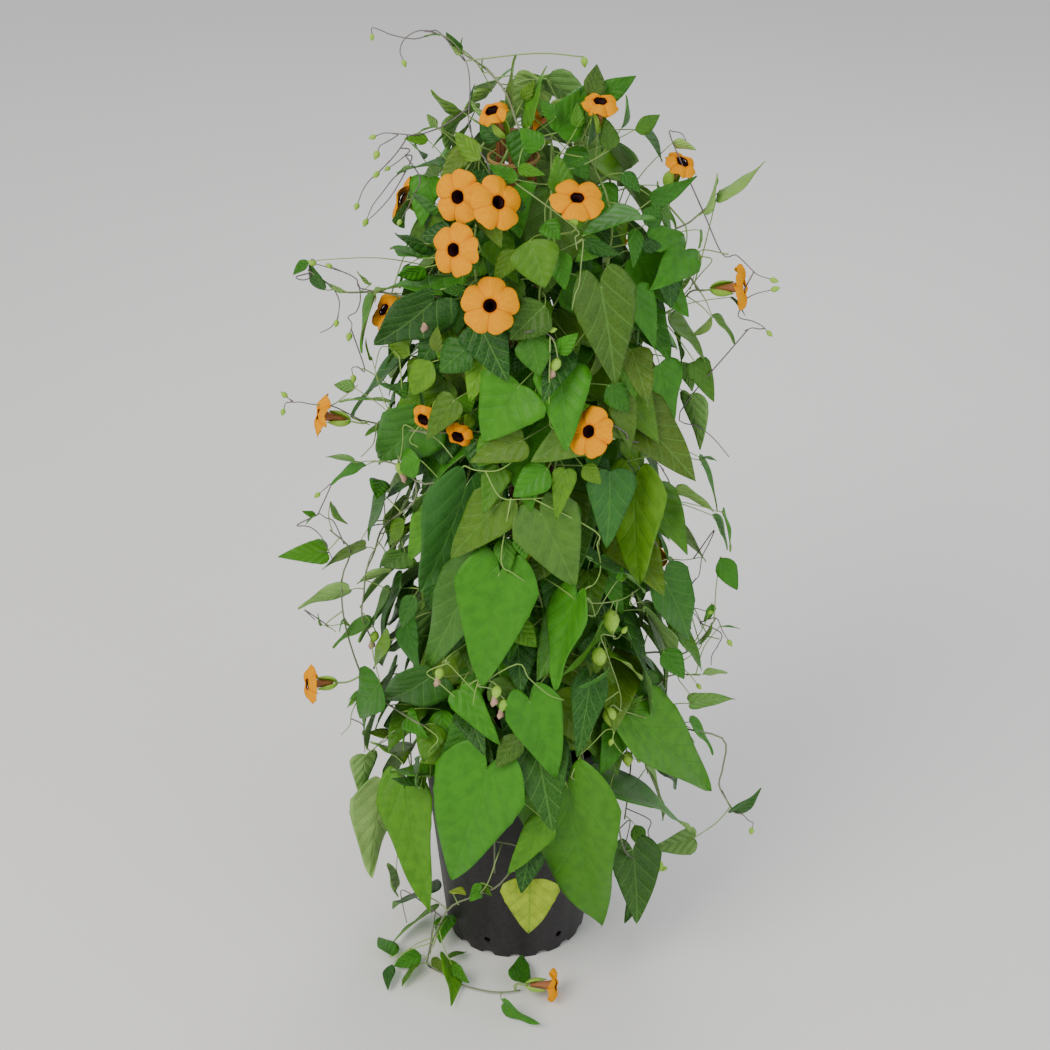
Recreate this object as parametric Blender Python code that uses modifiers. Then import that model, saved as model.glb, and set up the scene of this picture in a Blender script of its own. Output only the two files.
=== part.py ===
"""Black eyed susan vine (Thunbergia alata), trained up a tepee of canes in a nursery pot.

Units are metres and +Z is up. The origin is the middle of the pot's base and the front of the plant
faces -Y. Eight rooted vines twine up three canes, send runners up the outside of the column and let
short shoots hang over the lip of the pot. Each vine is one solid: stems, stalks, leaves and bracts.
Each bloom is a corolla of five lobes on a tube, seated on the end of its stalk.

A leaf or bloom is given by the two coordinates at which it is seen from the front, on a square frame
of 1050 units a side, and is set back along that sight line onto the outside of the foliage column.
"""

import math
import random

import bmesh
import bpy
import numpy as np
from mathutils import Matrix, Vector
from mathutils.bvhtree import BVHTree

# The pot
POT_HEIGHT = 0.225
BASE_RADIUS = 0.0645
BODY_TOP_RADIUS = 0.0835
LIP_RADIUS = 0.0890
LIP_HEIGHT = 0.012
WALL = 0.0016
FLOOR_THICKNESS = 0.0022
FOOT_WIDTH = 0.0055
FOOT_NOTCH = 0.0036
POT_STEPS = 32
DRAIN_RADIUS = 0.0032
DRAIN_HEIGHT = 0.018
DRAIN_COUNT = 6

# The soil
SOIL_TOP = 0.208
SOIL_EDGE_TOP = 0.202
SOIL_STEPS = 20
CLEARANCE = 0.0003

# The canes: three, leaning in to a tie near their tops
CANE_RADIUS = 0.0040
CANE_KNOT = 0.0003
CANE_FOOT_Z = 0.095
CANE_TOP_Z = 0.775
CANE_SOIL_SPREAD = 0.054
CANE_TIE_SPREAD = 0.014
CANE_TURNS = (-90.0, 22.5, 135.0)
TIE_Z = 0.748
TIE_THICKNESS = 0.0012
TIE_RADIUS = 0.01945
TIE_STEPS = 16

# The stems
TRUNK_RADIUS = 0.0013
RUNNER_RADIUS = 0.0011
SHOOT_RADIUS = 0.0009
TWINE_RADIUS = 0.0071
TWINE_TURNS = 2.5
TWINE_STEPS = 6
TWINE_TOP_Z = 0.70
ROOT_OFFSET = 0.012
ROOT_DEPTH_Z = 0.150
SECTORS = (-135.0, -90.0, -45.0, 0.0, 45.0, 90.0, 135.0, 180.0)
CANE_OF_VINE = (0, 0, 0, 1, 1, 2, 2, 2)

# The foliage column: its radius at each height, and how far its axis leans to +X for each metre
SHELL_HEIGHTS = (0.00, 0.10, 0.25, 0.42, 0.62, 0.71, 0.76, 0.80, 0.84)
SHELL_RADII = (0.112, 0.116, 0.118, 0.112, 0.112, 0.104, 0.084, 0.050, 0.012)
COLUMN_LEAN = 0.022

# The sight lines
SIGHT_FROM = Vector((0.009, -1.6, 1.35))
SIGHT_PITCH = math.radians(30.15)
SIGHT_REACH = 2190.0
SIGHT_MIDDLE = 525.0
UNITS_TO_METRES = 0.00082

# Leaves and blooms
BLADE_THICKNESS = 0.0008
CLEAR_THICKNESS = 0.0022
STALK_WIDTH = 0.0015
STALK_FOOT_WIDTH = 0.0006
LONGEST_STALK = 0.105
SHORT_STALK = 0.022
JOINT_SPACING = 0.009
FLOOR_GAP = 0.0012
LEAST_LEAF = 0.0285
SMALL_LEAF = 0.037
LARGE_LEAF = 0.066
TUBE_LENGTH = 0.021
THROAT_RADIUS = 0.0042
INSETS = (0.0, 0.008, -0.007, 0.016, 0.024, -0.013, 0.033, 0.043, 0.054)

# Each leaf: where its base and its tip are seen, and how wide it looks
LEAVES = (
    # over the pot
    (487, 768, 452, 880, 95), (567, 783, 602, 925, 85), (405, 788, 430, 912, 60), (384, 789, 371, 877, 36),
    (610, 788, 690, 832, 58), (545, 822, 508, 874, 34), (530, 852, 521, 893, 32), (485, 893, 488, 945, 26),
    (530, 880, 529, 933, 62), (636, 875, 625, 923, 34), (694, 838, 650, 848, 34), (672, 800, 721, 838, 30),
    (632, 715, 710, 791, 78), (435, 910, 393, 943, 22), (450, 915, 440, 943, 26), (464, 912, 462, 945, 20),
    (372, 702, 364, 736, 36), (372, 688, 349, 700, 16), (430, 677, 384, 699, 32), (450, 700, 386, 701, 16),
    (408, 717, 428, 738, 24), (393, 735, 367, 733, 13), (391, 747, 403, 764, 15), (430, 776, 390, 771, 13),
    (418, 779, 421, 755, 20), (366, 755, 362, 799, 15), (530, 700, 557, 778, 56), (590, 680, 577, 757, 36),
    (622, 714, 643, 695, 14), (620, 722, 600, 775, 40), (734, 811, 761, 788, 12), (734, 811, 738, 841, 14),
    (690, 722, 713, 755, 28), (690, 703, 735, 699, 22), (470, 725, 440, 765, 30), (460, 690, 500, 745, 34),
    (520, 735, 496, 768, 26), (635, 825, 642, 848, 8), (421, 955, 394, 966, 22), (425, 895, 393, 909, 20),
    # the middle of the column
    (603, 622, 560, 677, 17), (500, 572, 482, 686, 78), (476, 573, 428, 671, 58), (597, 624, 622, 630, 18),
    (608, 654, 642, 680, 10), (600, 650, 596, 674, 18), (609, 668, 579, 687, 8), (407, 625, 420, 671, 30),
    (592, 560, 645, 592, 14), (655, 565, 645, 592, 38), (665, 590, 676, 643, 16), (675, 600, 693, 655, 34),
    (645, 610, 672, 672, 36), (575, 600, 556, 690, 34), (390, 592, 373, 627, 32), (370, 622, 333, 648, 32),
    (390, 640, 374, 669, 32), (415, 595, 402, 628, 22), (466, 485, 420, 592, 52), (465, 455, 413, 520, 40),
    (500, 503, 451, 558, 48), (540, 512, 575, 586, 66), (520, 535, 526, 559, 18), (523, 440, 470, 462, 36),
    (590, 425, 531, 462, 50), (548, 468, 513, 497, 32), (540, 500, 507, 519, 20), (570, 501, 576, 535, 17),
    (565, 470, 556, 520, 24), (610, 472, 606, 548, 50), (583, 466, 601, 484, 18), (635, 480, 640, 585, 46),
    (655, 512, 706, 562, 48), (700, 460, 717, 512, 26), (683, 452, 690, 492, 20), (640, 447, 662, 500, 44),
    (680, 415, 697, 462, 24), (712, 515, 727, 550, 30), (703, 556, 707, 610, 15), (720, 558, 737, 590, 9),
    (712, 606, 732, 589, 14), (712, 623, 698, 645, 14), (719, 627, 740, 629, 11), (703, 674, 728, 673, 16),
    (630, 640, 650, 715, 40), (650, 690, 690, 720, 30), (600, 560, 622, 615, 34), (440, 600, 415, 668, 34),
    (405, 553, 381, 566, 14), (391, 570, 357, 584, 16), (365, 547, 322, 570, 32), (348, 590, 298, 609, 20),
    (326, 552, 278, 557, 7), (330, 502, 348, 524, 20), (322, 625, 318, 613, 12), (366, 465, 331, 485, 28),
    (355, 462, 326, 457, 7), (390, 425, 365, 436, 26), (380, 480, 376, 499, 12), (385, 505, 366, 505, 16),
    (420, 420, 380, 458, 42), (420, 460, 400, 470, 30), (415, 480, 385, 500, 24), (405, 520, 390, 545, 20),
    (430, 520, 410, 560, 34), (455, 400, 426, 440, 30), (445, 380, 430, 424, 44), (484, 416, 503, 430, 15),
    # the upper half
    (480, 325, 508, 382, 48), (530, 240, 545, 288, 45), (520, 385, 483, 441, 70), (532, 397, 533, 419, 18),
    (515, 250, 494, 283, 20), (556, 250, 565, 290, 24), (545, 305, 510, 340, 40), (530, 335, 540, 376, 34),
    (557, 352, 578, 333, 18), (590, 378, 598, 345, 16), (605, 333, 629, 313, 20), (634, 290, 655, 349, 33),
    (600, 285, 615, 385, 60), (545, 222, 560, 240, 20), (584, 224, 562, 210, 18), (585, 240, 620, 255, 14),
    (635, 228, 633, 268, 16), (668, 293, 692, 275, 20), (730, 297, 745, 316, 12), (712, 315, 735, 345, 25),
    (712, 318, 692, 335, 22), (722, 342, 735, 356, 12), (670, 322, 705, 362, 56), (660, 365, 668, 433, 44),
    (682, 362, 692, 392, 8), (695, 362, 714, 402, 12), (685, 250, 650, 290, 44), (620, 400, 630, 450, 30),
    (607, 385, 628, 412, 26), (560, 412, 590, 405, 16), (438, 352, 438, 326, 16), (436, 352, 442, 378, 18),
    (432, 362, 412, 395, 30), (465, 290, 443, 291, 12), (440, 290, 455, 308, 10), (440, 290, 374, 293, 22),
    (432, 302, 374, 343, 32), (410, 355, 388, 340, 18), (372, 360, 366, 338, 14), (355, 388, 334, 385, 15),
    (392, 385, 405, 400, 16), (388, 402, 339, 402, 22), (352, 416, 331, 412, 12), (371, 284, 357, 271, 9),
    (344, 291, 327, 283, 9), (324, 290, 310, 262, 12), (308, 261, 293, 275, 8), (367, 298, 360, 287, 7),
    (424, 244, 395, 233, 14), (420, 258, 390, 249, 16), (425, 268, 398, 276, 14), (437, 166, 397, 174, 9),
    (440, 208, 410, 190, 14), (430, 203, 433, 228, 16), (474, 146, 441, 177, 22), (518, 180, 487, 165, 14),
    (518, 168, 545, 175, 12), (518, 212, 518, 194, 14), (562, 195, 557, 154, 24), (640, 215, 582, 236, 24),
    (622, 173, 640, 193, 16), (652, 200, 697, 176, 22), (703, 213, 717, 174, 35), (718, 195, 765, 161, 28),
    (712, 215, 738, 245, 38), (700, 230, 698, 249, 20), (705, 250, 728, 236, 18), (645, 225, 660, 205, 22),
    (650, 240, 684, 235, 26), (641, 246, 662, 246, 14), (656, 200, 676, 228, 20), (690, 225, 688, 212, 12),
    (640, 130, 662, 162, 42), (635, 130, 660, 115, 18), (672, 143, 696, 150, 8), (455, 235, 420, 236, 24),
    (462, 270, 480, 262, 18), (520, 300, 470, 350, 40), (470, 345, 440, 372, 36), (600, 240, 575, 262, 22),
    # the crown
    (558, 132, 587, 84, 38), (590, 100, 597, 64, 24), (598, 97, 636, 76, 13), (622, 128, 626, 95, 27),
    (513, 105, 516, 55, 14), (523, 100, 535, 80, 12), (530, 125, 547, 66, 14), (472, 100, 475, 84, 9),
    (462, 112, 431, 90, 28), (490, 118, 470, 100, 22), (592, 116, 587, 145, 14), (577, 128, 577, 103, 13),
    (588, 158, 567, 164, 9), (500, 140, 480, 118, 24), (480, 160, 455, 132, 20), (540, 150, 520, 128, 22),
    (610, 150, 605, 118, 20), (555, 118, 540, 100, 14), (440, 35, 423, 37, 8), (462, 50, 446, 32, 7),
    # on the floor
    (518, 981, 523, 955, 26), (504, 1003, 540, 1024, 18),
)

# Each bloom: where its eye is seen, how far it is turned to the right and up from facing the viewer
# in degrees, the radius of its face, and how far it stands out of the column
BLOOMS = (
    (490, 306, 0, 0, 0.0215, 0.016), (459, 197, -28, -12, 0.0200, 0.018), (497, 203, 34, 0, 0.0205, 0.016),
    (577, 200, 8, 34, 0.0200, 0.016), (455, 250, -34, -10, 0.0200, 0.020), (590, 432, -38, 2, 0.0200, 0.016),
    (386, 311, -62, 8, 0.0165, 0.004), (321, 415, -84, -14, 0.0180, 0.0), (310, 684, -72, -22, 0.0170, 0.0),
    (741, 287, 78, -20, 0.0180, 0.0), (681, 164, 52, 28, 0.0130, 0.0), (600, 104, 16, 46, 0.0140, 0.010),
    (493, 113, -48, 30, 0.0120, 0.006), (425, 418, -30, -36, 0.0110, 0.004), (459, 435, -20, -40, 0.0110, -0.004),
)
# The same for those that can't be seen from the front: turn about the column, height, turn and rise
REAR_BLOOMS = (
    (60.0, 0.640, 12.0, 8.0), (105.0, 0.480, -10.0, 2.0), (150.0, 0.690, 6.0, 14.0), (28.0, 0.360, 14.0, 0.0),
    (84.0, 0.740, 0.0, 30.0),
)
REAR_BLOOM_RADIUS = 0.0195
# The bloom of the sprig that lies on the floor: where its eye is seen, and the height of its middle
FLOOR_BLOOM = (553, 985, 0.0165)
FLOOR_BLOOM_RADIUS = 0.0150

# Side shoots: the vine each grows on, how deep it starts inside the column, and its route as seen
SHOOTS = (
    (1, 0.0, ((522, 133), (507, 95), (487, 70), (463, 53), (452, 41), (440, 34))),
    (0, 0.0, ((410, 297), (380, 292), (343, 292), (327, 283), (308, 270))),
    (0, 0.0, ((425, 432), (385, 425), (356, 419))),
    (0, 0.0, ((425, 484), (395, 464), (374, 461))),
    (0, 0.0, ((414, 502), (384, 526), (374, 553), (366, 572), (364, 593), (362, 616), (372, 640))),
    (0, 0.0, ((420, 724), (385, 702), (370, 689), (357, 664), (344, 619), (342, 579), (350, 550), (330, 530))),
    (2, 0.0, ((655, 652), (680, 655), (702, 638), (716, 618))),
    (2, 0.0, ((640, 700), (669, 676), (700, 675))),
    (2, 0.0, ((670, 722), (722, 738), (723, 766), (719, 784), (726, 799), (733, 810))),
    (2, 0.0, ((612, 806), (624, 850), (640, 861), (652, 852))),
    (2, 0.0, ((672, 310), (690, 292), (704, 290))),
    (2, 0.0, ((668, 240), (690, 222), (706, 208))),
)
# The shoot that hangs down the front of the pot and runs on over the floor
TRAILER_HANG = ((521, 850), (500, 884), (474, 896), (446, 912))
TRAILER_FLOOR = ((427, 962), (441, 972), (460, 984), (487, 991), (506, 992), (520, 990))
TRAILER_VINE = 1
TRAILER_HEIGHT = 0.0030

# Fill leaves, on the sides and back and in a deeper layer all round
FILL_SEED = 4
FILL_OUTER = 52
FILL_FOOT_Z = 0.11
FILL_CROWN_Z = 0.80
FRONT_HALF_ANGLE = 62.0
GOLDEN_TURN = math.radians(137.508)


def clear_scene():
    """Empty the scene of objects."""
    for obj in list(bpy.data.objects):
        bpy.data.objects.remove(obj, do_unlink=True)


def new_collection(name, hidden=False):
    """A collection under the scene's own."""
    made = bpy.data.collections.new(name)
    bpy.context.scene.collection.children.link(made)
    made.hide_render = hidden
    return made


def material(name, colour, roughness):
    """A Principled material."""
    made = bpy.data.materials.new(name)
    made.use_nodes = True
    shader = made.node_tree.nodes["Principled BSDF"]
    shader.inputs["Base Color"].default_value = (*colour, 1.0)
    shader.inputs["Roughness"].default_value = roughness
    shader.inputs["Metallic"].default_value = 0.0
    return made


def evaluated_mesh(obj):
    """A new mesh of the object with its modifiers applied."""
    graph = bpy.context.evaluated_depsgraph_get()
    return bpy.data.meshes.new_from_object(obj.evaluated_get(graph))


def apply_modifiers(obj):
    """Swap the object's mesh for the modified one."""
    mesh = evaluated_mesh(obj)
    obj.modifiers.clear()
    obj.data = mesh


def object_of(name, mesh, collection, finish=None):
    """An object for a mesh, in a collection."""
    obj = bpy.data.objects.new(name, mesh)
    collection.objects.link(obj)
    if finish:
        obj.data.materials.clear()
        obj.data.materials.append(finish)
    return obj


def turned(name, profile, steps, collection):
    """A profile of (radius, z) turned about Z, top to bottom down its outer side."""
    mesh = bpy.data.meshes.new(name)
    edges = [(i, i + 1) for i in range(len(profile) - 1)]
    mesh.from_pydata([(radius, 0.0, z) for radius, z in profile], edges, [])
    obj = object_of(name, mesh, collection)
    screw = obj.modifiers.new("Turn", "SCREW")
    screw.steps = screw.render_steps = steps
    screw.use_merge_vertices = True
    screw.merge_threshold = 0.00005
    apply_modifiers(obj)
    return obj


def cut(obj, cutters):
    """Cut a collection of solids out of an object."""
    boolean = obj.modifiers.new("Cut", "BOOLEAN")
    boolean.operation = "DIFFERENCE"
    boolean.operand_type = "COLLECTION"
    boolean.collection = cutters
    boolean.solver = "EXACT"
    apply_modifiers(obj)
    remove_all(cutters)


def remove_all(collection):
    """Delete a helper collection and its objects."""
    for obj in list(collection.objects):
        bpy.data.objects.remove(obj, do_unlink=True)
    bpy.data.collections.remove(collection)


def cylinder(name, radius, start, end, sides, collection):
    """A closed cylinder from one point to another."""
    along = end - start
    mesh = bmesh.new()
    bmesh.ops.create_cone(
        mesh, cap_ends=True, segments=sides, radius1=radius, radius2=radius, depth=along.length
    )
    turn = along.to_track_quat("Z", "Y").to_matrix().to_4x4()
    bmesh.ops.transform(mesh, matrix=Matrix.Translation((start + end) / 2) @ turn, verts=mesh.verts)
    data = bpy.data.meshes.new(name)
    mesh.to_mesh(data)
    mesh.free()
    return object_of(name, data, collection)


def tube(name, points, radius, collection):
    """A stem: a curve with four sides, made a mesh with its caps welded."""
    curve = bpy.data.curves.new(name, "CURVE")
    curve.dimensions = "3D"
    curve.bevel_depth = radius
    curve.bevel_resolution = 0
    curve.use_fill_caps = True
    spline = curve.splines.new("POLY")
    spline.points.add(len(points) - 1)
    for spot, point in zip(spline.points, points):
        spot.co = (*point, 1.0)
    guide = object_of(name + "_guide", curve, collection)
    welded = bmesh.new()
    welded.from_mesh(evaluated_mesh(guide))
    bmesh.ops.remove_doubles(welded, verts=welded.verts, dist=0.00001)
    bmesh.ops.recalc_face_normals(welded, faces=welded.faces)
    mesh = bpy.data.meshes.new(name)
    welded.to_mesh(mesh)
    welded.free()
    bpy.data.objects.remove(guide)
    bpy.data.curves.remove(curve)
    return object_of(name, mesh, collection)


def round_point(turn, radius, z):
    """A point at a turn in degrees about the column's axis."""
    angle = math.radians(turn)
    return Vector((COLUMN_LEAN * z + radius * math.cos(angle), radius * math.sin(angle), z))


def shell_radius(z):
    """The radius of the foliage column at a height."""
    return float(np.interp(z, SHELL_HEIGHTS, SHELL_RADII))


def sight_line(across, down):
    """The direction in which a point of the front view is seen."""
    ahead = Vector((0.0, math.cos(SIGHT_PITCH), -math.sin(SIGHT_PITCH)))
    upward = Vector((0.0, math.sin(SIGHT_PITCH), math.cos(SIGHT_PITCH)))
    rightward = Vector((1.0, 0.0, 0.0))
    right = (across - SIGHT_MIDDLE) / SIGHT_REACH
    up = (SIGHT_MIDDLE - down) / SIGHT_REACH
    return (ahead + rightward * right + upward * up).normalized()


def on_column(across, down, inset):
    """Where a sight line meets the foliage column, or passes nearest to its axis."""
    line = sight_line(across, down)
    flat = line.x**2 + line.y**2
    reach = -(SIGHT_FROM.x * line.x + SIGHT_FROM.y * line.y) / flat
    for _ in range(8):
        point = SIGHT_FROM + line * reach
        radius = max(shell_radius(point.z) - inset, 0.0)
        start_x = SIGHT_FROM.x - COLUMN_LEAN * point.z
        half = start_x * line.x + SIGHT_FROM.y * line.y
        rest = half**2 - flat * (start_x**2 + SIGHT_FROM.y**2 - radius**2)
        reach = (reach + (-half - math.sqrt(max(rest, 0.0))) / flat) / 2
    return SIGHT_FROM + line * reach


def on_level(across, down, z):
    """Where a sight line comes down to a height."""
    line = sight_line(across, down)
    return SIGHT_FROM + line * ((z - SIGHT_FROM.z) / line.z)


def cane_point(cane, z):
    """The middle of a cane at a height."""
    share = (z - SOIL_TOP) / (TIE_Z - SOIL_TOP)
    spread = CANE_SOIL_SPREAD + (CANE_TIE_SPREAD - CANE_SOIL_SPREAD) * share
    angle = math.radians(CANE_TURNS[cane])
    return Vector((spread * math.cos(angle), spread * math.sin(angle), z))


class Solid:
    """A placed piece that later pieces stay clear of."""

    def __init__(self, owner, kind, points, faces):
        self.owner = owner
        self.kind = kind
        self.tree = BVHTree.FromPolygons(points, faces)
        self.low = np.min(np.array([tuple(p) for p in points]), axis=0)
        self.high = np.max(np.array([tuple(p) for p in points]), axis=0)

    def meets(self, other):
        """Whether two pieces' surfaces cross."""
        if (self.low > other.high).any() or (other.low > self.high).any():
            return False
        return bool(self.tree.overlap(other.tree))


class Thicket:
    """Every placed piece, sorted into slices by height so that few need testing."""

    slice_height = 0.05

    def __init__(self):
        self.slices = {}

    def layers(self, solid):
        """The slices that a solid reaches into."""
        first = int(solid.low[2] // self.slice_height)
        last = int(solid.high[2] // self.slice_height)
        return range(first, last + 1)

    def add(self, solid):
        """Keep a placed solid."""
        for layer in self.layers(solid):
            self.slices.setdefault(layer, []).append(solid)

    def free(self, solid, heeds):
        """Whether a solid crosses none of the placed ones that it heeds."""
        tested = set()
        for layer in self.layers(solid):
            for placed in self.slices.get(layer, ()):
                if id(placed) in tested or not heeds(placed):
                    continue
                tested.add(id(placed))
                if placed.meets(solid):
                    return False
        return True

    def stems_met(self, solid):
        """The vines whose stems a solid crosses, or None where it crosses anything else."""
        met = set()
        for layer in self.layers(solid):
            for placed in self.slices.get(layer, ()):
                if placed.kind == "stem" and placed.owner in met or not placed.meets(solid):
                    continue
                if placed.kind != "stem":
                    return None
                met.add(placed.owner)
        return met


def mesh_solid(owner, kind, obj):
    """The test solid of a mesh object."""
    points = [obj.matrix_world @ v.co for v in obj.data.vertices]
    return Solid(owner, kind, points, [tuple(p.vertices) for p in obj.data.polygons])


def sheet_solid(owner, kind, points, faces, thickness):
    """The test solid of an open sheet: both of its sides and the rim between them."""
    normals = [Vector() for _ in points]
    ends = {}
    for face in faces:
        a, b, c = (points[i] for i in face[:3])
        normal = (b - a).cross(c - a)
        for i, corner in enumerate(face):
            normals[corner] += normal
            edge = (corner, face[(i + 1) % len(face)])
            ends[frozenset(edge)] = None if frozenset(edge) in ends else edge
    normals = [n.normalized() * (thickness / 2) for n in normals]
    count = len(points)
    both = [p + n for p, n in zip(points, normals)] + [p - n for p, n in zip(points, normals)]
    sides = list(faces) + [tuple(i + count for i in reversed(face)) for face in faces]
    sides += [(a, a + count, b + count, b) for a, b in filter(None, ends.values())]
    return Solid(owner, kind, both, sides)


class Leaf:
    """A leaf blade between two points, with its stalk as a strip at the sinus."""

    fold = 0.10
    droop = 0.16
    usual_width = 0.62

    def __init__(self, base, tip, width, side):
        self.base = base
        self.along = (tip - base).normalized()
        self.length = (tip - base).length
        shape = width / self.length
        roll = math.acos(min(1.0, shape / self.usual_width)) if shape < 0.42 else 0.0
        self.width = max(width, self.length * self.usual_width * (0.9 if roll else 0.0))
        middle = (base + tip) / 2
        outward = Vector((middle.x - COLUMN_LEAN * middle.z, middle.y, 0.0)).normalized()
        to_viewer = (SIGHT_FROM - middle).normalized()
        ahead = to_viewer if outward.dot(to_viewer) > 0.1 else outward
        face = outward * 0.5 + ahead * 0.5 + Vector((0.0, 0.0, 0.25))
        face = (face - self.along * face.dot(self.along)).normalized()
        self.face = Matrix.Rotation(min(roll, 1.2) * side, 3, self.along) @ face
        self.across = self.face.cross(self.along)

    def spot(self, across, along):
        """A point of the blade: across in half widths, along in lengths."""
        lift = self.fold * abs(across) * self.width - self.droop * self.length * along**2
        lift += self.droop * self.length * along
        half = self.width / 2
        return self.base + self.across * (across * half) + self.along * (along * self.length) + self.face * lift

    def blade(self):
        """The blade's points and triangles, more of them on a larger leaf."""
        root = STALK_WIDTH / self.width
        points = [self.spot(-root, 0.0), self.spot(root, 0.0), self.spot(0.0, 1.0)]
        if self.length < SMALL_LEAF or self.width < 0.009:
            points += [self.spot(-1.0, 0.34), self.spot(1.0, 0.34)]
            return points, [(0, 1, 2), (0, 2, 3), (1, 4, 2)]
        if self.length < LARGE_LEAF:
            points += [self.spot(side * x, y) for side in (-1, 1) for x, y in ((1.0, 0.13), (0.62, 0.55))]
            return points, [(0, 1, 2), (0, 2, 4), (0, 4, 3), (1, 6, 2), (1, 5, 6)]
        outline = ((0.50, -0.13), (1.0, 0.12), (0.66, 0.52))
        points += [self.spot(0.0, 0.5)]
        points += [self.spot(side * x, y) for side in (-1, 1) for x, y in outline]
        left = [(0, 5, 4), (0, 3, 5), (3, 6, 5), (3, 2, 6)]
        right = [(1, 7, 8), (1, 8, 3), (3, 8, 9), (3, 9, 2)]
        return points, [(0, 1, 3)] + left + right

    def stalk(self, foot):
        """The two points of the stalk's foot, at the stem."""
        course = self.base - foot
        side = self.face.cross(course)
        if side.length < 0.3 * course.length:
            side = self.across.copy()
        side = side.normalized() * (STALK_FOOT_WIDTH / 2)
        if side.dot(self.across) < 0:
            side = -side
        return foot - side, foot + side

    def stalk_solid(self, owner, foot, thickness):
        """The test solid of the stalk, short of its foot in the stem."""
        left, right = self.stalk(foot.lerp(self.base, 0.12))
        points = [left, right, self.spot(STALK_WIDTH / self.width, 0.0), self.spot(-STALK_WIDTH / self.width, 0.0)]
        return sheet_solid(owner, "stalk", points, [(0, 1, 2, 3)], thickness)

    def mesh(self, name, foot):
        """The open sheet of blade and stalk, in triangles."""
        points, faces = self.blade()
        left, right = self.stalk(foot)
        start = len(points)
        points += [left, right]
        faces = faces + [(start, start + 1, 1), (start, 1, 0)]
        data = bpy.data.meshes.new(name)
        data.from_pydata([tuple(p) for p in points], [], faces)
        return data


class Vines:
    """The eight vines: their stems, what grows on them, and where a stalk may join."""

    def __init__(self, thicket):
        self.thicket = thicket
        self.parts = [new_collection(f"grown_{i + 1}") for i in range(len(SECTORS))]
        self.joints = []
        self.owners = []
        self.taken = []

    def stem(self, vine, points, radius):
        """Grow a stem and offer points along it to later stalks."""
        obj = tube("stem", points, radius, self.parts[vine])
        self.thicket.add(mesh_solid(vine, "stem", obj))
        for start, end in zip(points, points[1:]):
            steps = max(1, round((end - start).length / JOINT_SPACING))
            for i in range(1, steps + 1):
                self.joints.append(tuple(start.lerp(end, i / (steps + 0.5))))
                self.owners.append(vine)
                self.taken.append(False)

    def nearest(self, point, away, only=None):
        """Joints near a point, best first: near, and not on the far side of the blade."""
        spots = np.array(self.joints)
        gaps = spots - np.array(point)
        distance = np.linalg.norm(gaps, axis=1)
        lean = gaps @ np.array(away) / np.maximum(distance, 1e-6)
        cost = distance + 0.030 * np.maximum(lean + 0.1, 0.0)
        cost += np.where(np.array(self.taken) | (distance < 0.003), 1.0, 0.0)
        potted = (spots[:, 2] < SOIL_TOP + 0.006) & (np.hypot(spots[:, 0], spots[:, 1]) < LIP_RADIUS)
        cost += np.where(potted, 1.0, 0.0)
        if only is not None:
            cost += np.where(np.array(self.owners) == only, 0.0, 1.0)
        order = np.argsort(cost)[:60]
        chosen = []
        for i in order:
            if cost[i] > LONGEST_STALK:
                break
            if all(np.linalg.norm(spots[i] - spots[j]) > 0.012 for j in chosen):
                chosen.append(i)
            if len(chosen) == 9:
                break
        return [(self.owners[i], Vector(self.joints[i])) for i in chosen]

    def sheet(self, vine, name, data):
        """Add a thin sheet to what is fused into a vine."""
        obj = object_of(name, data, self.parts[vine])
        solidify = obj.modifiers.new("Thickness", "SOLIDIFY")
        solidify.thickness = BLADE_THICKNESS
        solidify.offset = 0.0

    def try_leaf(self, leaf):
        """Grow a leaf where it and its stalk are clear of all else; say whether it took."""
        points, faces = leaf.blade()
        wide = sheet_solid(-1, "blade", points, faces, CLEAR_THICKNESS)
        met = self.thicket.stems_met(wide)
        if wide.low[2] < FLOOR_GAP or met is None or len(met) > 1:
            return False
        for vine, foot in self.nearest(leaf.base, leaf.along, next(iter(met), None)):
            stalk = leaf.stalk_solid(vine, foot, CLEAR_THICKNESS)
            short = (foot - leaf.base).length < SHORT_STALK

            def heeds(placed, vine=vine, short=short):
                return placed.owner != vine or placed.kind != "stem" or not short

            if not self.thicket.free(stalk, heeds):
                continue
            self.sheet(vine, "leaf", leaf.mesh("leaf", foot))
            self.thicket.add(sheet_solid(vine, "blade", points, faces, BLADE_THICKNESS))
            self.thicket.add(leaf.stalk_solid(vine, foot, BLADE_THICKNESS))
            self.taken[self.joints.index(tuple(foot))] = True
            return True
        return False

    def join(self, finish, collection):
        """Fuse each vine's parts into one solid."""
        for i, parts in enumerate(self.parts):
            objects = list(parts.objects)
            body = objects[0]
            parts.objects.unlink(body)
            collection.objects.link(body)
            body.name = f"vine_{i + 1}"
            union = body.modifiers.new("Fuse", "BOOLEAN")
            union.operation = "UNION"
            union.operand_type = "COLLECTION"
            union.collection = parts
            union.solver = "MANIFOLD"
            apply_modifiers(body)
            remove_all(parts)
            body.data.materials.clear()
            body.data.materials.append(finish)


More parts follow.
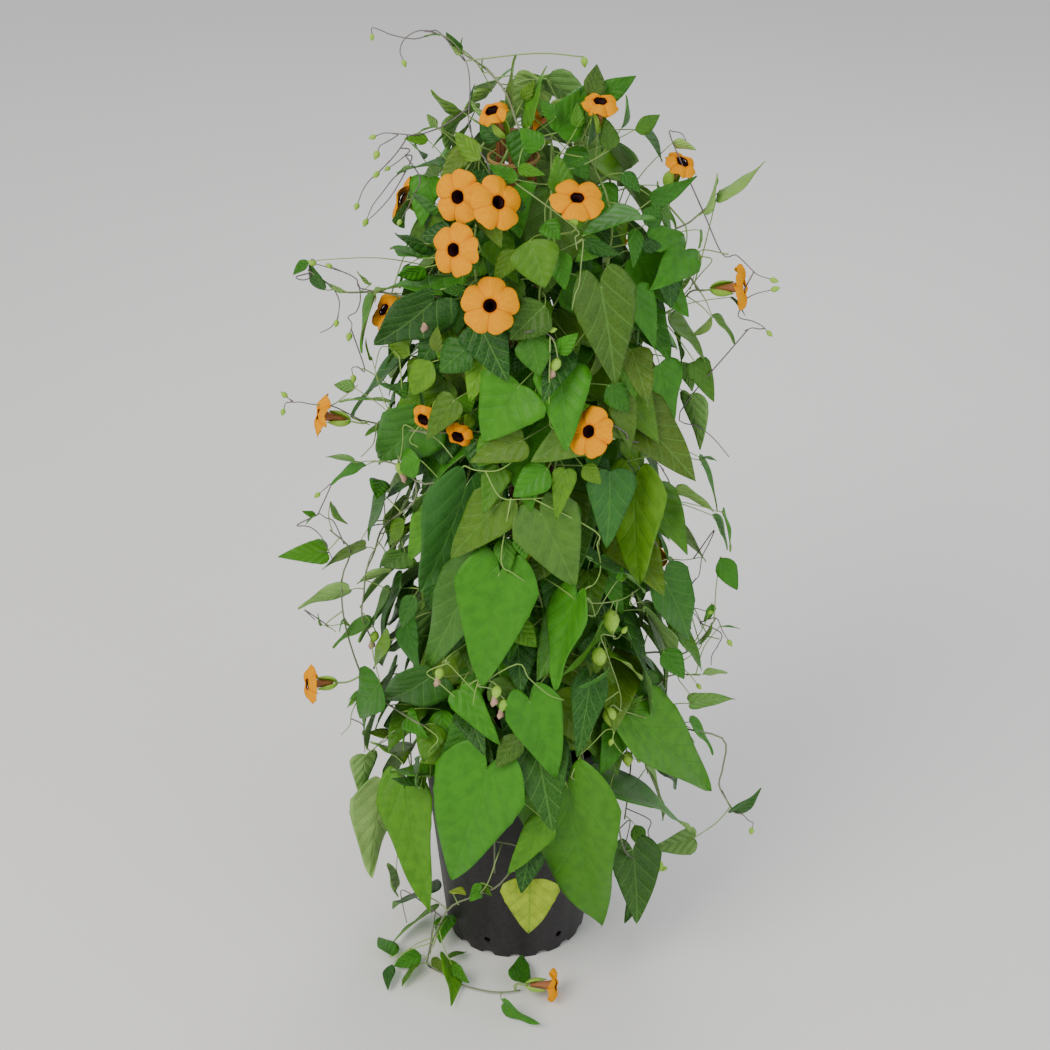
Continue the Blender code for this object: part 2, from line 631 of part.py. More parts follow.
def build_pot(finish, collection):
    """The pot: tapered wall, rolled lip, flat base and a notched foot, with low drain holes."""
    lip_foot = POT_HEIGHT - LIP_HEIGHT
    inner_base = BASE_RADIUS - WALL
    inner_top = BODY_TOP_RADIUS - WALL
    profile = [
        (LIP_RADIUS - 0.0022, POT_HEIGHT),
        (LIP_RADIUS, POT_HEIGHT - 0.0015),
        (LIP_RADIUS - 0.0008, lip_foot),
        (BODY_TOP_RADIUS, lip_foot),
        (BASE_RADIUS, 0.0045),
        (BASE_RADIUS - 0.0006, 0.0),
        (BASE_RADIUS - FOOT_WIDTH, 0.0),
        (0.0, 0.0),
        (0.0, FLOOR_THICKNESS + FOOT_NOTCH),
        (inner_base - 0.001, FLOOR_THICKNESS + FOOT_NOTCH),
        (inner_top, lip_foot + 0.001),
        (LIP_RADIUS - 0.0030, POT_HEIGHT - 0.0008),
        (LIP_RADIUS - 0.0022, POT_HEIGHT),
    ]
    pot = turned("pot", profile, POT_STEPS, collection)
    for vertex in pot.data.vertices:
        radius = math.hypot(vertex.co.x, vertex.co.y)
        step = round(math.degrees(math.atan2(vertex.co.y, vertex.co.x)) / (360 / POT_STEPS))
        if abs(radius - BASE_RADIUS + 0.0006) < 0.0001 and vertex.co.z < 0.0001 and step % 2:
            vertex.co.z = FOOT_NOTCH
    cutters = new_collection("drain_cutters", hidden=True)
    for i in range(DRAIN_COUNT):
        angle = 2 * math.pi * (i + 0.12) / DRAIN_COUNT
        out = Vector((math.cos(angle), math.sin(angle), 0.0))
        height = Vector((0.0, 0.0, DRAIN_HEIGHT))
        start, end = out * (BASE_RADIUS - 0.012) + height, out * (BASE_RADIUS + 0.012) + height
        cylinder(f"drain_{i}", DRAIN_RADIUS, start, end, 6, cutters)
    cut(pot, cutters)
    pot.data.materials.append(finish)
    pot.data.shade_smooth()
    pot.data.set_sharp_from_angle(angle=math.radians(35))
    return pot


def soil_wall(z):
    """The radius of the pot's inside at a height, less the clearance."""
    share = (z - FLOOR_THICKNESS) / (POT_HEIGHT - LIP_HEIGHT - FLOOR_THICKNESS)
    inner = BASE_RADIUS - WALL - 0.001 + (BODY_TOP_RADIUS - BASE_RADIUS + 0.001) * share
    return inner * math.cos(math.pi / POT_STEPS) - 2 * CLEARANCE


def root_spot(vine):
    """Where a vine's stem stands in the soil: beside its cane, on the side of its own sector."""
    foot = cane_point(CANE_OF_VINE[vine], SOIL_TOP)
    angle = math.radians(SECTORS[vine])
    return Vector((foot.x + ROOT_OFFSET * math.cos(angle), foot.y + ROOT_OFFSET * math.sin(angle), SOIL_TOP))


def build_soil(finish, collection):
    """Soil to the floor of the pot, mounded to the middle, with a hole for each cane and stem."""
    floor = FLOOR_THICKNESS + FOOT_NOTCH + CLEARANCE
    profile = [
        (0.0, SOIL_TOP),
        (0.045, SOIL_TOP - 0.001),
        (soil_wall(SOIL_EDGE_TOP), SOIL_EDGE_TOP),
        (soil_wall(floor) - 0.001, floor),
        (0.0, floor),
    ]
    soil = turned("soil", profile, SOIL_STEPS, collection)
    cutters = new_collection("hole_cutters", hidden=True)
    up = Vector((0.0, 0.0, 0.03))
    for cane in range(len(CANE_TURNS)):
        bottom = cane_point(cane, CANE_FOOT_Z - 0.0006)
        cylinder("cane_hole", CANE_RADIUS + CANE_KNOT + CLEARANCE, bottom, cane_point(cane, 0.24), 8, cutters)
    for vine in range(len(SECTORS)):
        spot = root_spot(vine)
        bottom = Vector((spot.x, spot.y, ROOT_DEPTH_Z - 0.0005))
        cylinder("root_hole", TRUNK_RADIUS + 1.9 * CLEARANCE, bottom, spot + up, 6, cutters)
    cut(soil, cutters)
    soil.data.materials.append(finish)
    return soil


def build_canes(finish, collection):
    """Three bamboo canes with a slight ring at each knot."""
    canes = []
    for i in range(len(CANE_TURNS)):
        foot, head = cane_point(i, CANE_FOOT_Z), cane_point(i, CANE_TOP_Z)
        length = (head - foot).length
        knots = [0.12 + 0.125 * k + 0.02 * i for k in range(4)]
        profile = [(0.0, length), (CANE_RADIUS * 0.9, length)]
        for knot in reversed(knots):
            profile += [(CANE_RADIUS, knot + 0.004), (CANE_RADIUS + CANE_KNOT, knot), (CANE_RADIUS, knot - 0.004)]
        profile += [(CANE_RADIUS, 0.0), (0.0, 0.0)]
        cane = turned(f"cane_{i + 1}", profile, 6, collection)
        turn = (head - foot).to_track_quat("Z", "Y").to_matrix().to_4x4()
        cane.data.transform(Matrix.Translation(foot) @ turn)
        cane.data.materials.append(finish)
        canes.append(cane)
    return canes


def build_tie(finish, collection):
    """The ring that ties the canes together."""
    bpy.ops.mesh.primitive_torus_add(
        major_radius=TIE_RADIUS,
        minor_radius=TIE_THICKNESS,
        major_segments=TIE_STEPS,
        minor_segments=4,
        location=(0.0, 0.0, TIE_Z),
    )
    tie = bpy.context.object
    tie.name = "cane_tie"
    for owner in list(tie.users_collection):
        owner.objects.unlink(tie)
    collection.objects.link(tie)
    tie.data.materials.append(finish)
    return tie


def trunk_route(vine):
    """A vine's main stem: up out of the soil, then twined round its cane."""
    cane = CANE_OF_VINE[vine]
    root = root_spot(vine)
    points = [Vector((root.x, root.y, ROOT_DEPTH_Z)), Vector((root.x, root.y, SOIL_TOP + 0.012))]
    start_z = SOIL_TOP + 0.030
    count = int(TWINE_TURNS * TWINE_STEPS)
    for i in range(count + 1):
        z = start_z + (TWINE_TOP_Z - start_z) * i / count
        angle = math.radians(SECTORS[vine]) + 2 * math.pi * i / TWINE_STEPS
        offset = Vector((math.cos(angle), math.sin(angle), 0.0)) * TWINE_RADIUS
        points.append(cane_point(cane, z) + offset)
    return points


def runner_route(vine, trunk):
    """A long shoot that leaves the trunk low down and climbs just inside the foliage."""
    sector = SECTORS[vine]
    points = [trunk[2]]
    heights = (0.300, 0.370, 0.440, 0.510, 0.580, 0.650, 0.715, 0.778)
    for i, z in enumerate(heights):
        radius = max(shell_radius(z) - 0.036, 0.016)
        wander = 9.0 * math.sin(1.9 * i + vine)
        points.append(round_point(sector + 12.0 + wander, radius, z))
    return points


def skirt_route(vine, trunk):
    """A short shoot that hangs over the lip of the pot."""
    turn = SECTORS[vine] - 12.0
    places = ((0.078, 0.252), (0.094, 0.247), (0.1005, 0.218), (0.1010, 0.170), (0.0985, 0.125))
    return [trunk[1]] + [round_point(turn, radius, z) for radius, z in places]


def grow_stems(vines):
    """All trunks, runners, skirt shoots and side shoots."""
    for vine in range(len(SECTORS)):
        trunk = trunk_route(vine)
        vines.stem(vine, trunk, TRUNK_RADIUS)
        vines.stem(vine, runner_route(vine, trunk), RUNNER_RADIUS)
        vines.stem(vine, skirt_route(vine, trunk), SHOOT_RADIUS)
    for vine, inset, route in SHOOTS:
        points = [on_column(x, y, inset) for x, y in route]
        foot = vines.nearest(points[0], points[1] - points[0], vine)[0][1]
        vines.stem(vine, [foot] + points, SHOOT_RADIUS)
    hang = [on_column(x, y, 0.008) for x, y in TRAILER_HANG]
    floor = [on_level(x, y, TRAILER_HEIGHT) for x, y in TRAILER_FLOOR]
    foot = vines.nearest(hang[0], hang[1] - hang[0], TRAILER_VINE)[0][1]
    vines.stem(TRAILER_VINE, [foot] + hang + floor, SHOOT_RADIUS)


def facing(turn, rise):
    """The direction of a face turned right and up, in degrees, from facing the viewer."""
    azimuth = math.radians(-90.0 + turn)
    height = SIGHT_PITCH + math.radians(rise)
    return Vector((math.cos(azimuth) * math.cos(height), math.sin(azimuth) * math.cos(height), math.sin(height)))


class Bloom:
    """A corolla: five lobes spread round the throat of a tapered tube."""

    lobes = 5
    lobe_outline = ((-31.0, 0.62), (-20.0, 1.0), (20.0, 1.0), (31.0, 0.62))

    def __init__(self, eye, aim, radius):
        self.eye = eye
        self.aim = aim.normalized()
        self.radius = radius
        self.across = self.aim.orthogonal().normalized()
        self.up = self.aim.cross(self.across)

    def spot(self, turn, reach, depth):
        """A point round the aim, in degrees and metres."""
        angle = math.radians(turn)
        flat = self.across * math.cos(angle) + self.up * math.sin(angle)
        return self.eye + flat * reach + self.aim * depth

    def sheet(self):
        """The corolla's points and triangles."""
        points = [self.eye - self.aim * TUBE_LENGTH]
        faces = []
        ring = 2 * self.lobes
        for i in range(ring):
            points.append(self.spot(360.0 * (i - 1) / ring, THROAT_RADIUS, 0.0))
        for i in range(ring):
            faces.append((0, 1 + (i + 1) % ring, 1 + i))
        for lobe in range(self.lobes):
            middle = 360.0 * lobe / self.lobes
            inner = [1 + 2 * lobe, 2 + 2 * lobe, 1 + (2 * lobe + 2) % ring]
            start = len(points)
            for turn, share in self.lobe_outline:
                lift = 0.0035 * math.sin(math.pi * share) - 0.003 * share * abs(turn) / 30.0
                points.append(self.spot(middle + turn, self.radius * share, lift))
            a, b, c, d = range(start, start + 4)
            faces += [(inner[0], inner[1], b), (inner[0], b, a), (inner[1], c, b)]
            faces += [(inner[1], inner[2], c), (inner[2], d, c)]
        return points, faces

    def build(self, name, vines, finish, collection):
        """Grow the corolla with its stalk and bracts; say whether there was room."""
        points, faces = self.sheet()
        wide = sheet_solid(-1, "bloom", points, faces, CLEAR_THICKNESS)
        if not vines.thicket.free(wide, lambda placed: True):
            return False
        seat = self.eye - self.aim * (TUBE_LENGTH + CLEARANCE + BLADE_THICKNESS)
        neck = seat - self.aim * 0.012
        for vine, foot in vines.nearest(neck, self.aim):
            obj = tube("flower_stalk", [foot, neck, seat], SHOOT_RADIUS, vines.parts[vine])
            short = tube("test", [foot.lerp(neck, 0.15), neck, seat], 2 * SHOOT_RADIUS, vines.parts[vine])
            test = mesh_solid(vine, "stem", short)
            bpy.data.objects.remove(short)

            def heeds(placed, vine=vine):
                return placed.owner != vine or placed.kind == "blade"

            if not vines.thicket.free(test, heeds):
                bpy.data.objects.remove(obj)
                continue
            vines.thicket.add(mesh_solid(vine, "stem", obj))
            self.bracts(seat, vine, vines)
            vines.thicket.add(sheet_solid(-1, "bloom", points, faces, BLADE_THICKNESS))
            data = bpy.data.meshes.new(name)
            data.from_pydata([tuple(p) for p in points], [], faces)
            corolla = object_of(name, data, collection, finish)
            solidify = corolla.modifiers.new("Thickness", "SOLIDIFY")
            solidify.thickness = BLADE_THICKNESS
            solidify.offset = 0.0
            return True
        return False

    def bracts(self, seat, vine, vines):
        """The two bracts that stand either side of the tube."""
        for side in (-1, 1):
            out = self.across * side
            leaf = Leaf(seat - self.aim * 0.004, seat + self.aim * 0.012 + out * 0.0085, 0.0105, 0)
            leaf.face = out
            leaf.across = leaf.face.cross(leaf.along).normalized()
            leaf.face = leaf.along.cross(leaf.across)
            points, faces = leaf.blade()
            vines.thicket.add(sheet_solid(vine, "blade", points, faces, BLADE_THICKNESS))
            data = bpy.data.meshes.new("bract")
            data.from_pydata([tuple(p) for p in points], [], faces)
            vines.sheet(vine, "bract", data)


def grow_blooms(vines, finish, collection):
    """Every bloom, each moved out a little if its place is taken."""
    wanted = []
    for across, down, turn, rise, radius, proud in BLOOMS:
        eyes = [on_column(across, down, -proud - step) for step in (0.0, 0.006, -0.006, 0.012, -0.012, 0.02)]
        wanted.append((eyes, facing(turn, rise), radius))
    for turn, z, yaw, rise in REAR_BLOOMS:
        eyes = [round_point(turn, shell_radius(z) + step, z) for step in (0.014, 0.02, 0.008, 0.028)]
        aim = round_point(turn + yaw, 1.0, 0.0) + Vector((0.0, 0.0, math.tan(math.radians(rise))))
        wanted.append((eyes, aim, REAR_BLOOM_RADIUS))
    across, down, height = FLOOR_BLOOM
    wanted.append(([on_level(across, down, height)], facing(82.0, -24.0), FLOOR_BLOOM_RADIUS))
    for i, (eyes, aim, radius) in enumerate(wanted):
        name = f"bloom_{i + 1:02d}"
        any(Bloom(eye, aim, radius).build(name, vines, finish, collection) for eye in eyes)


def grow_seen_leaves(vines):
    """The leaves of the front view, each at the first depth where it has room."""
    for i, (base_x, base_y, tip_x, tip_y, width) in enumerate(LEAVES):
        side = 1 if i % 2 else -1
        if math.hypot(tip_x - base_x, tip_y - base_y) * UNITS_TO_METRES < LEAST_LEAF:
            continue
        for inset in INSETS:
            base = on_column(base_x, base_y, inset + 0.004)
            tip = on_column(tip_x, tip_y, inset - 0.005)
            if base_y > 950 or tip_y > 940:
                base, tip = on_level(base_x, base_y, 0.010 + inset / 4), on_level(tip_x, tip_y, 0.004 + inset / 4)
            if vines.try_leaf(Leaf(base, tip, width * UNITS_TO_METRES, side)):
                break


def grow_fill_leaves(vines):
    """Leaves round the sides and back, larger towards the pot, hanging outward."""
    draw = random.Random(FILL_SEED)
    for i in range(FILL_OUTER):
        share = (i + 0.5) / FILL_OUTER
        z = FILL_FOOT_Z + (FILL_CROWN_Z - FILL_FOOT_Z) * share
        half_open = math.radians(180.0 - FRONT_HALF_ANGLE)
        angle = math.radians(90.0) + half_open * (2.0 * ((i * GOLDEN_TURN / (2 * math.pi)) % 1.0) - 1.0)
        length = (0.078 - 0.042 * share) * draw.uniform(0.78, 1.15)
        sway = draw.uniform(-0.5, 0.5)
        for inset in INSETS:
            radius = max(shell_radius(z) - inset, 0.01)
            out = Vector((math.cos(angle), math.sin(angle), 0.0))
            base = round_point(math.degrees(angle), radius, z)
            course = Vector((0.0, 0.0, -1.0)) + out * 0.28 + Vector((-out.y, out.x, 0.0)) * sway
            leaf = Leaf(base, base + course.normalized() * length, length * draw.uniform(0.66, 0.84), 1)
            if vines.try_leaf(leaf):
                break


def build():
    """Model the plant in its pot."""
    clear_scene()
    plant = new_collection("black_eyed_susan_vine")
    plastic = material("charcoal_plastic", (0.020, 0.018, 0.019), 0.62)
    earth = material("potting_soil", (0.045, 0.028, 0.018), 0.95)
    bamboo = material("bamboo", (0.200, 0.070, 0.020), 0.55)
    twine = material("tie", (0.700, 0.220, 0.030), 0.70)
    green = material("leaf_green", (0.105, 0.330, 0.030), 0.50)
    petal = material("golden_petal", (0.950, 0.430, 0.020), 0.55)
    thicket = Thicket()
    pot = build_pot(plastic, plant)
    soil = build_soil(earth, plant)
    canes = build_canes(bamboo, plant)
    tie = build_tie(twine, plant)
    for obj in (pot, soil, tie, *canes):
        thicket.add(mesh_solid(-1, "holder", obj))
    vines = Vines(thicket)
    grow_stems(vines)
    grow_blooms(vines, petal, plant)
    grow_seen_leaves(vines)
    grow_fill_leaves(vines)
    vines.join(green, plant)


build()
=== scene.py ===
"""How the black eyed susan vine and its pot look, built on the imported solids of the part.

The first half places stems, blooms and leaves by the same rules as the solids, and the second half
builds a fine mesh and a finish for each. Units are metres and +Z is up.
"""

import logging
import math
import random
from collections.abc import Callable, Iterable, Sequence
from dataclasses import dataclass, field
from enum import Enum
from typing import Any

import bmesh
import bpy
import numpy as np
from mathutils import Matrix, Vector, noise
from mathutils.bvhtree import BVHTree


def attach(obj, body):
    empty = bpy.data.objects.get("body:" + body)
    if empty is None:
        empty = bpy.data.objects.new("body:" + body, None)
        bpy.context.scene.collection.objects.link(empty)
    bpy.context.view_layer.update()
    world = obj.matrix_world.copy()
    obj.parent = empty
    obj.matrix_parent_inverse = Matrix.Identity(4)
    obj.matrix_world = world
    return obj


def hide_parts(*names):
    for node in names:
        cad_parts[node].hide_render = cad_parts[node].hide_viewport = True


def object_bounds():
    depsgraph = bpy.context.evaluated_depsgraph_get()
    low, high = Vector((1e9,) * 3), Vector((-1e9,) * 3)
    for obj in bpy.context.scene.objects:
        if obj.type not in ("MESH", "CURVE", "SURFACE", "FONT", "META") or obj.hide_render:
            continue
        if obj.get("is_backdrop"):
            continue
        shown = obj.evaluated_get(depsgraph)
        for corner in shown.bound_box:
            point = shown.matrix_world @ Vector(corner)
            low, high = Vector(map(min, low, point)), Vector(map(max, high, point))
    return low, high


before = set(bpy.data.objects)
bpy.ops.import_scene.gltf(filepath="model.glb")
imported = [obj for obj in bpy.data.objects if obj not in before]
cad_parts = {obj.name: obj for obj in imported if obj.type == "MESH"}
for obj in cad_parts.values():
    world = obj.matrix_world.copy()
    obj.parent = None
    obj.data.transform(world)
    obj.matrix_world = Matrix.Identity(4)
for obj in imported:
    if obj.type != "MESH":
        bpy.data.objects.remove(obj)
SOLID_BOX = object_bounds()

LOG = logging.getLogger("susan_vine")
ROOT = "root"
Flat = tuple[float, float]
Face = tuple[int, ...]
Points = Sequence[Vector]
Faces = Sequence[Face]
Row = tuple[int, ...]
Triple = tuple[float, float, float]
Piece = bpy.types.Object
Mesh = bpy.types.Mesh
Material = bpy.types.Material
Tree = bpy.types.NodeTree
Socket = bpy.types.NodeSocket
Finishes = Sequence[Material]
Look = tuple[Socket, Socket | None, float]
GOLDEN_TURN = math.radians(137.508)
DOWN = Vector((0.0, 0.0, -1.0))

# The vines by number: how far each is turned about the column, and which cane carries it
VINES = 8
VINE_TURNS = (-135.0, -90.0, -45.0, 0.0, 45.0, 90.0, 135.0, 180.0)
CANE_OF_VINE = (0, 0, 0, 1, 1, 2, 2, 2)
# The nodes that hold the plant, which leaves, their stalks and blooms stay clear of
HOLDERS = ("pot", "soil", "cane_tie", "cane_1", "cane_2", "cane_3")

# Sizes that the solids share, in metres
TUBE_LENGTH = 0.021
THROAT_RADIUS = 0.0042
CLEARANCE = 0.0003
BLADE_THICKNESS = 0.0008
CLEAR_THICKNESS = 0.0022
STALK_WIDTH = 0.0015
STALK_FOOT_WIDTH = 0.0006
TRUNK_RADIUS = 0.0013
RUNNER_RADIUS = 0.0011
SHOOT_RADIUS = 0.0009
SOIL_TOP = 0.208
LEAST_LEAF = 0.0285
# How deep inside the column a leaf is tried, in turn
INSETS = (0.0, 0.008, -0.007, 0.016, 0.024, -0.013, 0.033, 0.043, 0.054)

# Sizes of the fine meshes alone
SHEET_THICKNESS = 0.00045
PETAL_THICKNESS = 0.0004
FLOOR_GAP = 0.0004
# A blade's chart: how far it runs to each side in half widths, and below the base and in all in lengths
CHART_HALF = 1.3
CHART_FOOT = 0.2
CHART_LENGTH = 1.3
# The reach in metres that fills a petal's chart
PETAL_CHART = 0.025


class Tone(Enum):
    """Leaf tones, as lightness, greyness and yellowing; the lightness is partly how fresh the leaf is and
    partly painted light and shade.
    """

    # The lightest class is partly fresh green and partly painted light; DARK is partly painted shade
    FRESH_AND_LIT = (0.85, 0.0, 0.0)
    MIDDLE = (0.55, 0.1, 0.0)
    DARK = (0.15, 0.1, 0.0)
    GREY = (0.40, 0.9, 0.0)
    PALE = (0.95, 0.6, 0.45)
    YELLOW = (1.0, 0.0, 0.9)


class Bark(Enum):
    """Stem colours, as a share of the way from light green to purplish grey."""

    PALE = 0.15
    GREEN = 0.35
    THIN = 0.95


class Tip(Enum):
    """What ends a sprig."""

    NONE = 0
    BUD = 1
    LEAF = 2


class Slot(Enum):
    """Which finish of a vine's piece a face takes."""

    BLADE = 0
    UNDERSIDE = 1
    STEM = 2
    BRACT = 3
    FADED = 4


# Each leaf: where its base and its tip are seen, and how wide it looks
LEAVES = (
    # over the pot
    (487, 768, 452, 880, 95), (567, 783, 602, 925, 85), (405, 788, 430, 912, 60), (384, 789, 371, 877, 36),
    (610, 788, 690, 832, 58), (545, 822, 508, 874, 34), (530, 852, 521, 893, 32), (485, 893, 488, 945, 26),
    (530, 880, 529, 933, 62), (636, 875, 625, 923, 34), (694, 838, 650, 848, 34), (672, 800, 721, 838, 30),
    (632, 715, 710, 791, 78), (435, 910, 393, 943, 22), (450, 915, 440, 943, 26), (464, 912, 462, 945, 20),
    (372, 702, 364, 736, 36), (372, 688, 349, 700, 16), (430, 677, 384, 699, 32), (450, 700, 386, 701, 16),
    (408, 717, 428, 738, 24), (393, 735, 367, 733, 13), (391, 747, 403, 764, 15), (430, 776, 390, 771, 13),
    (418, 779, 421, 755, 20), (366, 755, 362, 799, 15), (530, 700, 557, 778, 56), (590, 680, 577, 757, 36),
    (622, 714, 643, 695, 14), (620, 722, 600, 775, 40), (734, 811, 761, 788, 12), (734, 811, 738, 841, 14),
    (690, 722, 713, 755, 28), (690, 703, 735, 699, 22), (470, 725, 440, 765, 30), (460, 690, 500, 745, 34),
    (520, 735, 496, 768, 26), (635, 825, 642, 848, 8), (421, 955, 394, 966, 22), (425, 895, 393, 909, 20),
    # the middle of the column
    (603, 622, 560, 677, 17), (500, 572, 482, 686, 78), (476, 573, 428, 671, 58), (597, 624, 622, 630, 18),
    (608, 654, 642, 680, 10), (600, 650, 596, 674, 18), (609, 668, 579, 687, 8), (407, 625, 420, 671, 30),
    (592, 560, 645, 592, 14), (655, 565, 645, 592, 38), (665, 590, 676, 643, 16), (675, 600, 693, 655, 34),
    (645, 610, 672, 672, 36), (575, 600, 556, 690, 34), (390, 592, 373, 627, 32), (370, 622, 333, 648, 32),
    (390, 640, 374, 669, 32), (415, 595, 402, 628, 22), (466, 485, 420, 592, 52), (465, 455, 413, 520, 40),
    (500, 503, 451, 558, 48), (540, 512, 575, 586, 66), (520, 535, 526, 559, 18), (523, 440, 470, 462, 36),
    (590, 425, 531, 462, 50), (548, 468, 513, 497, 32), (540, 500, 507, 519, 20), (570, 501, 576, 535, 17),
    (565, 470, 556, 520, 24), (610, 472, 606, 548, 50), (583, 466, 601, 484, 18), (635, 480, 640, 585, 46),
    (655, 512, 706, 562, 48), (700, 460, 717, 512, 26), (683, 452, 690, 492, 20), (640, 447, 662, 500, 44),
    (680, 415, 697, 462, 24), (712, 515, 727, 550, 30), (703, 556, 707, 610, 15), (720, 558, 737, 590, 9),
    (712, 606, 732, 589, 14), (712, 623, 698, 645, 14), (719, 627, 740, 629, 11), (703, 674, 728, 673, 16),
    (630, 640, 650, 715, 40), (650, 690, 690, 720, 30), (600, 560, 622, 615, 34), (440, 600, 415, 668, 34),
    (405, 553, 381, 566, 14), (391, 570, 357, 584, 16), (365, 547, 322, 570, 32), (348, 590, 298, 609, 20),
    (326, 552, 278, 557, 7), (330, 502, 348, 524, 20), (322, 625, 318, 613, 12), (366, 465, 331, 485, 28),
    (355, 462, 326, 457, 7), (390, 425, 365, 436, 26), (380, 480, 376, 499, 12), (385, 505, 366, 505, 16),
    (420, 420, 380, 458, 42), (420, 460, 400, 470, 30), (415, 480, 385, 500, 24), (405, 520, 390, 545, 20),
    (430, 520, 410, 560, 34), (455, 400, 426, 440, 30), (445, 380, 430, 424, 44), (484, 416, 503, 430, 15),
    # the upper half
    (480, 325, 508, 382, 48), (530, 240, 545, 288, 45), (520, 385, 483, 441, 70), (532, 397, 533, 419, 18),
    (515, 250, 494, 283, 20), (556, 250, 565, 290, 24), (545, 305, 510, 340, 40), (530, 335, 540, 376, 34),
    (557, 352, 578, 333, 18), (590, 378, 598, 345, 16), (605, 333, 629, 313, 20), (634, 290, 655, 349, 33),
    (600, 285, 615, 385, 60), (545, 222, 560, 240, 20), (584, 224, 562, 210, 18), (585, 240, 620, 255, 14),
    (635, 228, 633, 268, 16), (668, 293, 692, 275, 20), (730, 297, 745, 316, 12), (712, 315, 735, 345, 25),
    (712, 318, 692, 335, 22), (722, 342, 735, 356, 12), (670, 322, 705, 362, 56), (660, 365, 668, 433, 44),
    (682, 362, 692, 392, 8), (695, 362, 714, 402, 12), (685, 250, 650, 290, 44), (620, 400, 630, 450, 30),
    (607, 385, 628, 412, 26), (560, 412, 590, 405, 16), (438, 352, 438, 326, 16), (436, 352, 442, 378, 18),
    (432, 362, 412, 395, 30), (465, 290, 443, 291, 12), (440, 290, 455, 308, 10), (440, 290, 374, 293, 22),
    (432, 302, 374, 343, 32), (410, 355, 388, 340, 18), (372, 360, 366, 338, 14), (355, 388, 334, 385, 15),
    (392, 385, 405, 400, 16), (388, 402, 339, 402, 22), (352, 416, 331, 412, 12), (371, 284, 357, 271, 9),
    (344, 291, 327, 283, 9), (324, 290, 310, 262, 12), (308, 261, 293, 275, 8), (367, 298, 360, 287, 7),
    (424, 244, 395, 233, 14), (420, 258, 390, 249, 16), (425, 268, 398, 276, 14), (437, 166, 397, 174, 9),
    (440, 208, 410, 190, 14), (430, 203, 433, 228, 16), (474, 146, 441, 177, 22), (518, 180, 487, 165, 14),
    (518, 168, 545, 175, 12), (518, 212, 518, 194, 14), (562, 195, 557, 154, 24), (640, 215, 582, 236, 24),
    (622, 173, 640, 193, 16), (652, 200, 697, 176, 22), (703, 213, 717, 174, 35), (718, 195, 765, 161, 28),
    (712, 215, 738, 245, 38), (700, 230, 698, 249, 20), (705, 250, 728, 236, 18), (645, 225, 660, 205, 22),
    (650, 240, 684, 235, 26), (641, 246, 662, 246, 14), (656, 200, 676, 228, 20), (690, 225, 688, 212, 12),
    (640, 130, 662, 162, 42), (635, 130, 660, 115, 18), (672, 143, 696, 150, 8), (455, 235, 420, 236, 24),
    (462, 270, 480, 262, 18), (520, 300, 470, 350, 40), (470, 345, 440, 372, 36), (600, 240, 575, 262, 22),
    # the crown
    (558, 132, 587, 84, 38), (590, 100, 597, 64, 24), (598, 97, 636, 76, 13), (622, 128, 626, 95, 27),
    (513, 105, 516, 55, 14), (523, 100, 535, 80, 12), (530, 125, 547, 66, 14), (472, 100, 475, 84, 9),
    (462, 112, 431, 90, 28), (490, 118, 470, 100, 22), (592, 116, 587, 145, 14), (577, 128, 577, 103, 13),
    (588, 158, 567, 164, 9), (500, 140, 480, 118, 24), (480, 160, 455, 132, 20), (540, 150, 520, 128, 22),
    (610, 150, 605, 118, 20), (555, 118, 540, 100, 14), (440, 35, 423, 37, 8), (462, 50, 446, 32, 7),
    # on the floor
    (518, 981, 523, 955, 26), (504, 1003, 540, 1024, 18),
)

# Each bloom: where its eye is seen, how far it is turned to the right and up from facing the viewer
# in degrees, the radius of its face, and how far it stands out of the column
BLOOMS = (
    (490, 306, 0, 0, 0.0215, 0.016), (459, 197, -28, -12, 0.0200, 0.018), (497, 203, 34, 0, 0.0205, 0.016),
    (577, 200, 8, 34, 0.0200, 0.016), (455, 250, -34, -10, 0.0200, 0.020), (590, 432, -38, 2, 0.0200, 0.016),
    (386, 311, -62, 8, 0.0165, 0.004), (321, 415, -84, -14, 0.0180, 0.0), (310, 684, -72, -22, 0.0170, 0.0),
    (741, 287, 78, -20, 0.0180, 0.0), (681, 164, 52, 28, 0.0130, 0.0), (600, 104, 16, 46, 0.0140, 0.010),
    (493, 113, -48, 30, 0.0120, 0.006), (425, 418, -30, -36, 0.0110, 0.004),
    (459, 435, -20, -40, 0.0110, -0.004),
)
# The same for those that can't be seen from the front: turn about the column, height, turn and rise
REAR_BLOOMS = (
    (60.0, 0.640, 12.0, 8.0), (105.0, 0.480, -10.0, 2.0), (150.0, 0.690, 6.0, 14.0), (28.0, 0.360, 14.0, 0.0),
    (84.0, 0.740, 0.0, 30.0),
)
REAR_BLOOM_RADIUS = 0.0195
# The bloom of the sprig that lies on the floor: where its eye is seen, and the height of its middle
FLOOR_BLOOM = (553, 985, 0.0165)
FLOOR_BLOOM_FACING = (82.0, -24.0)
FLOOR_BLOOM_RADIUS = 0.0150

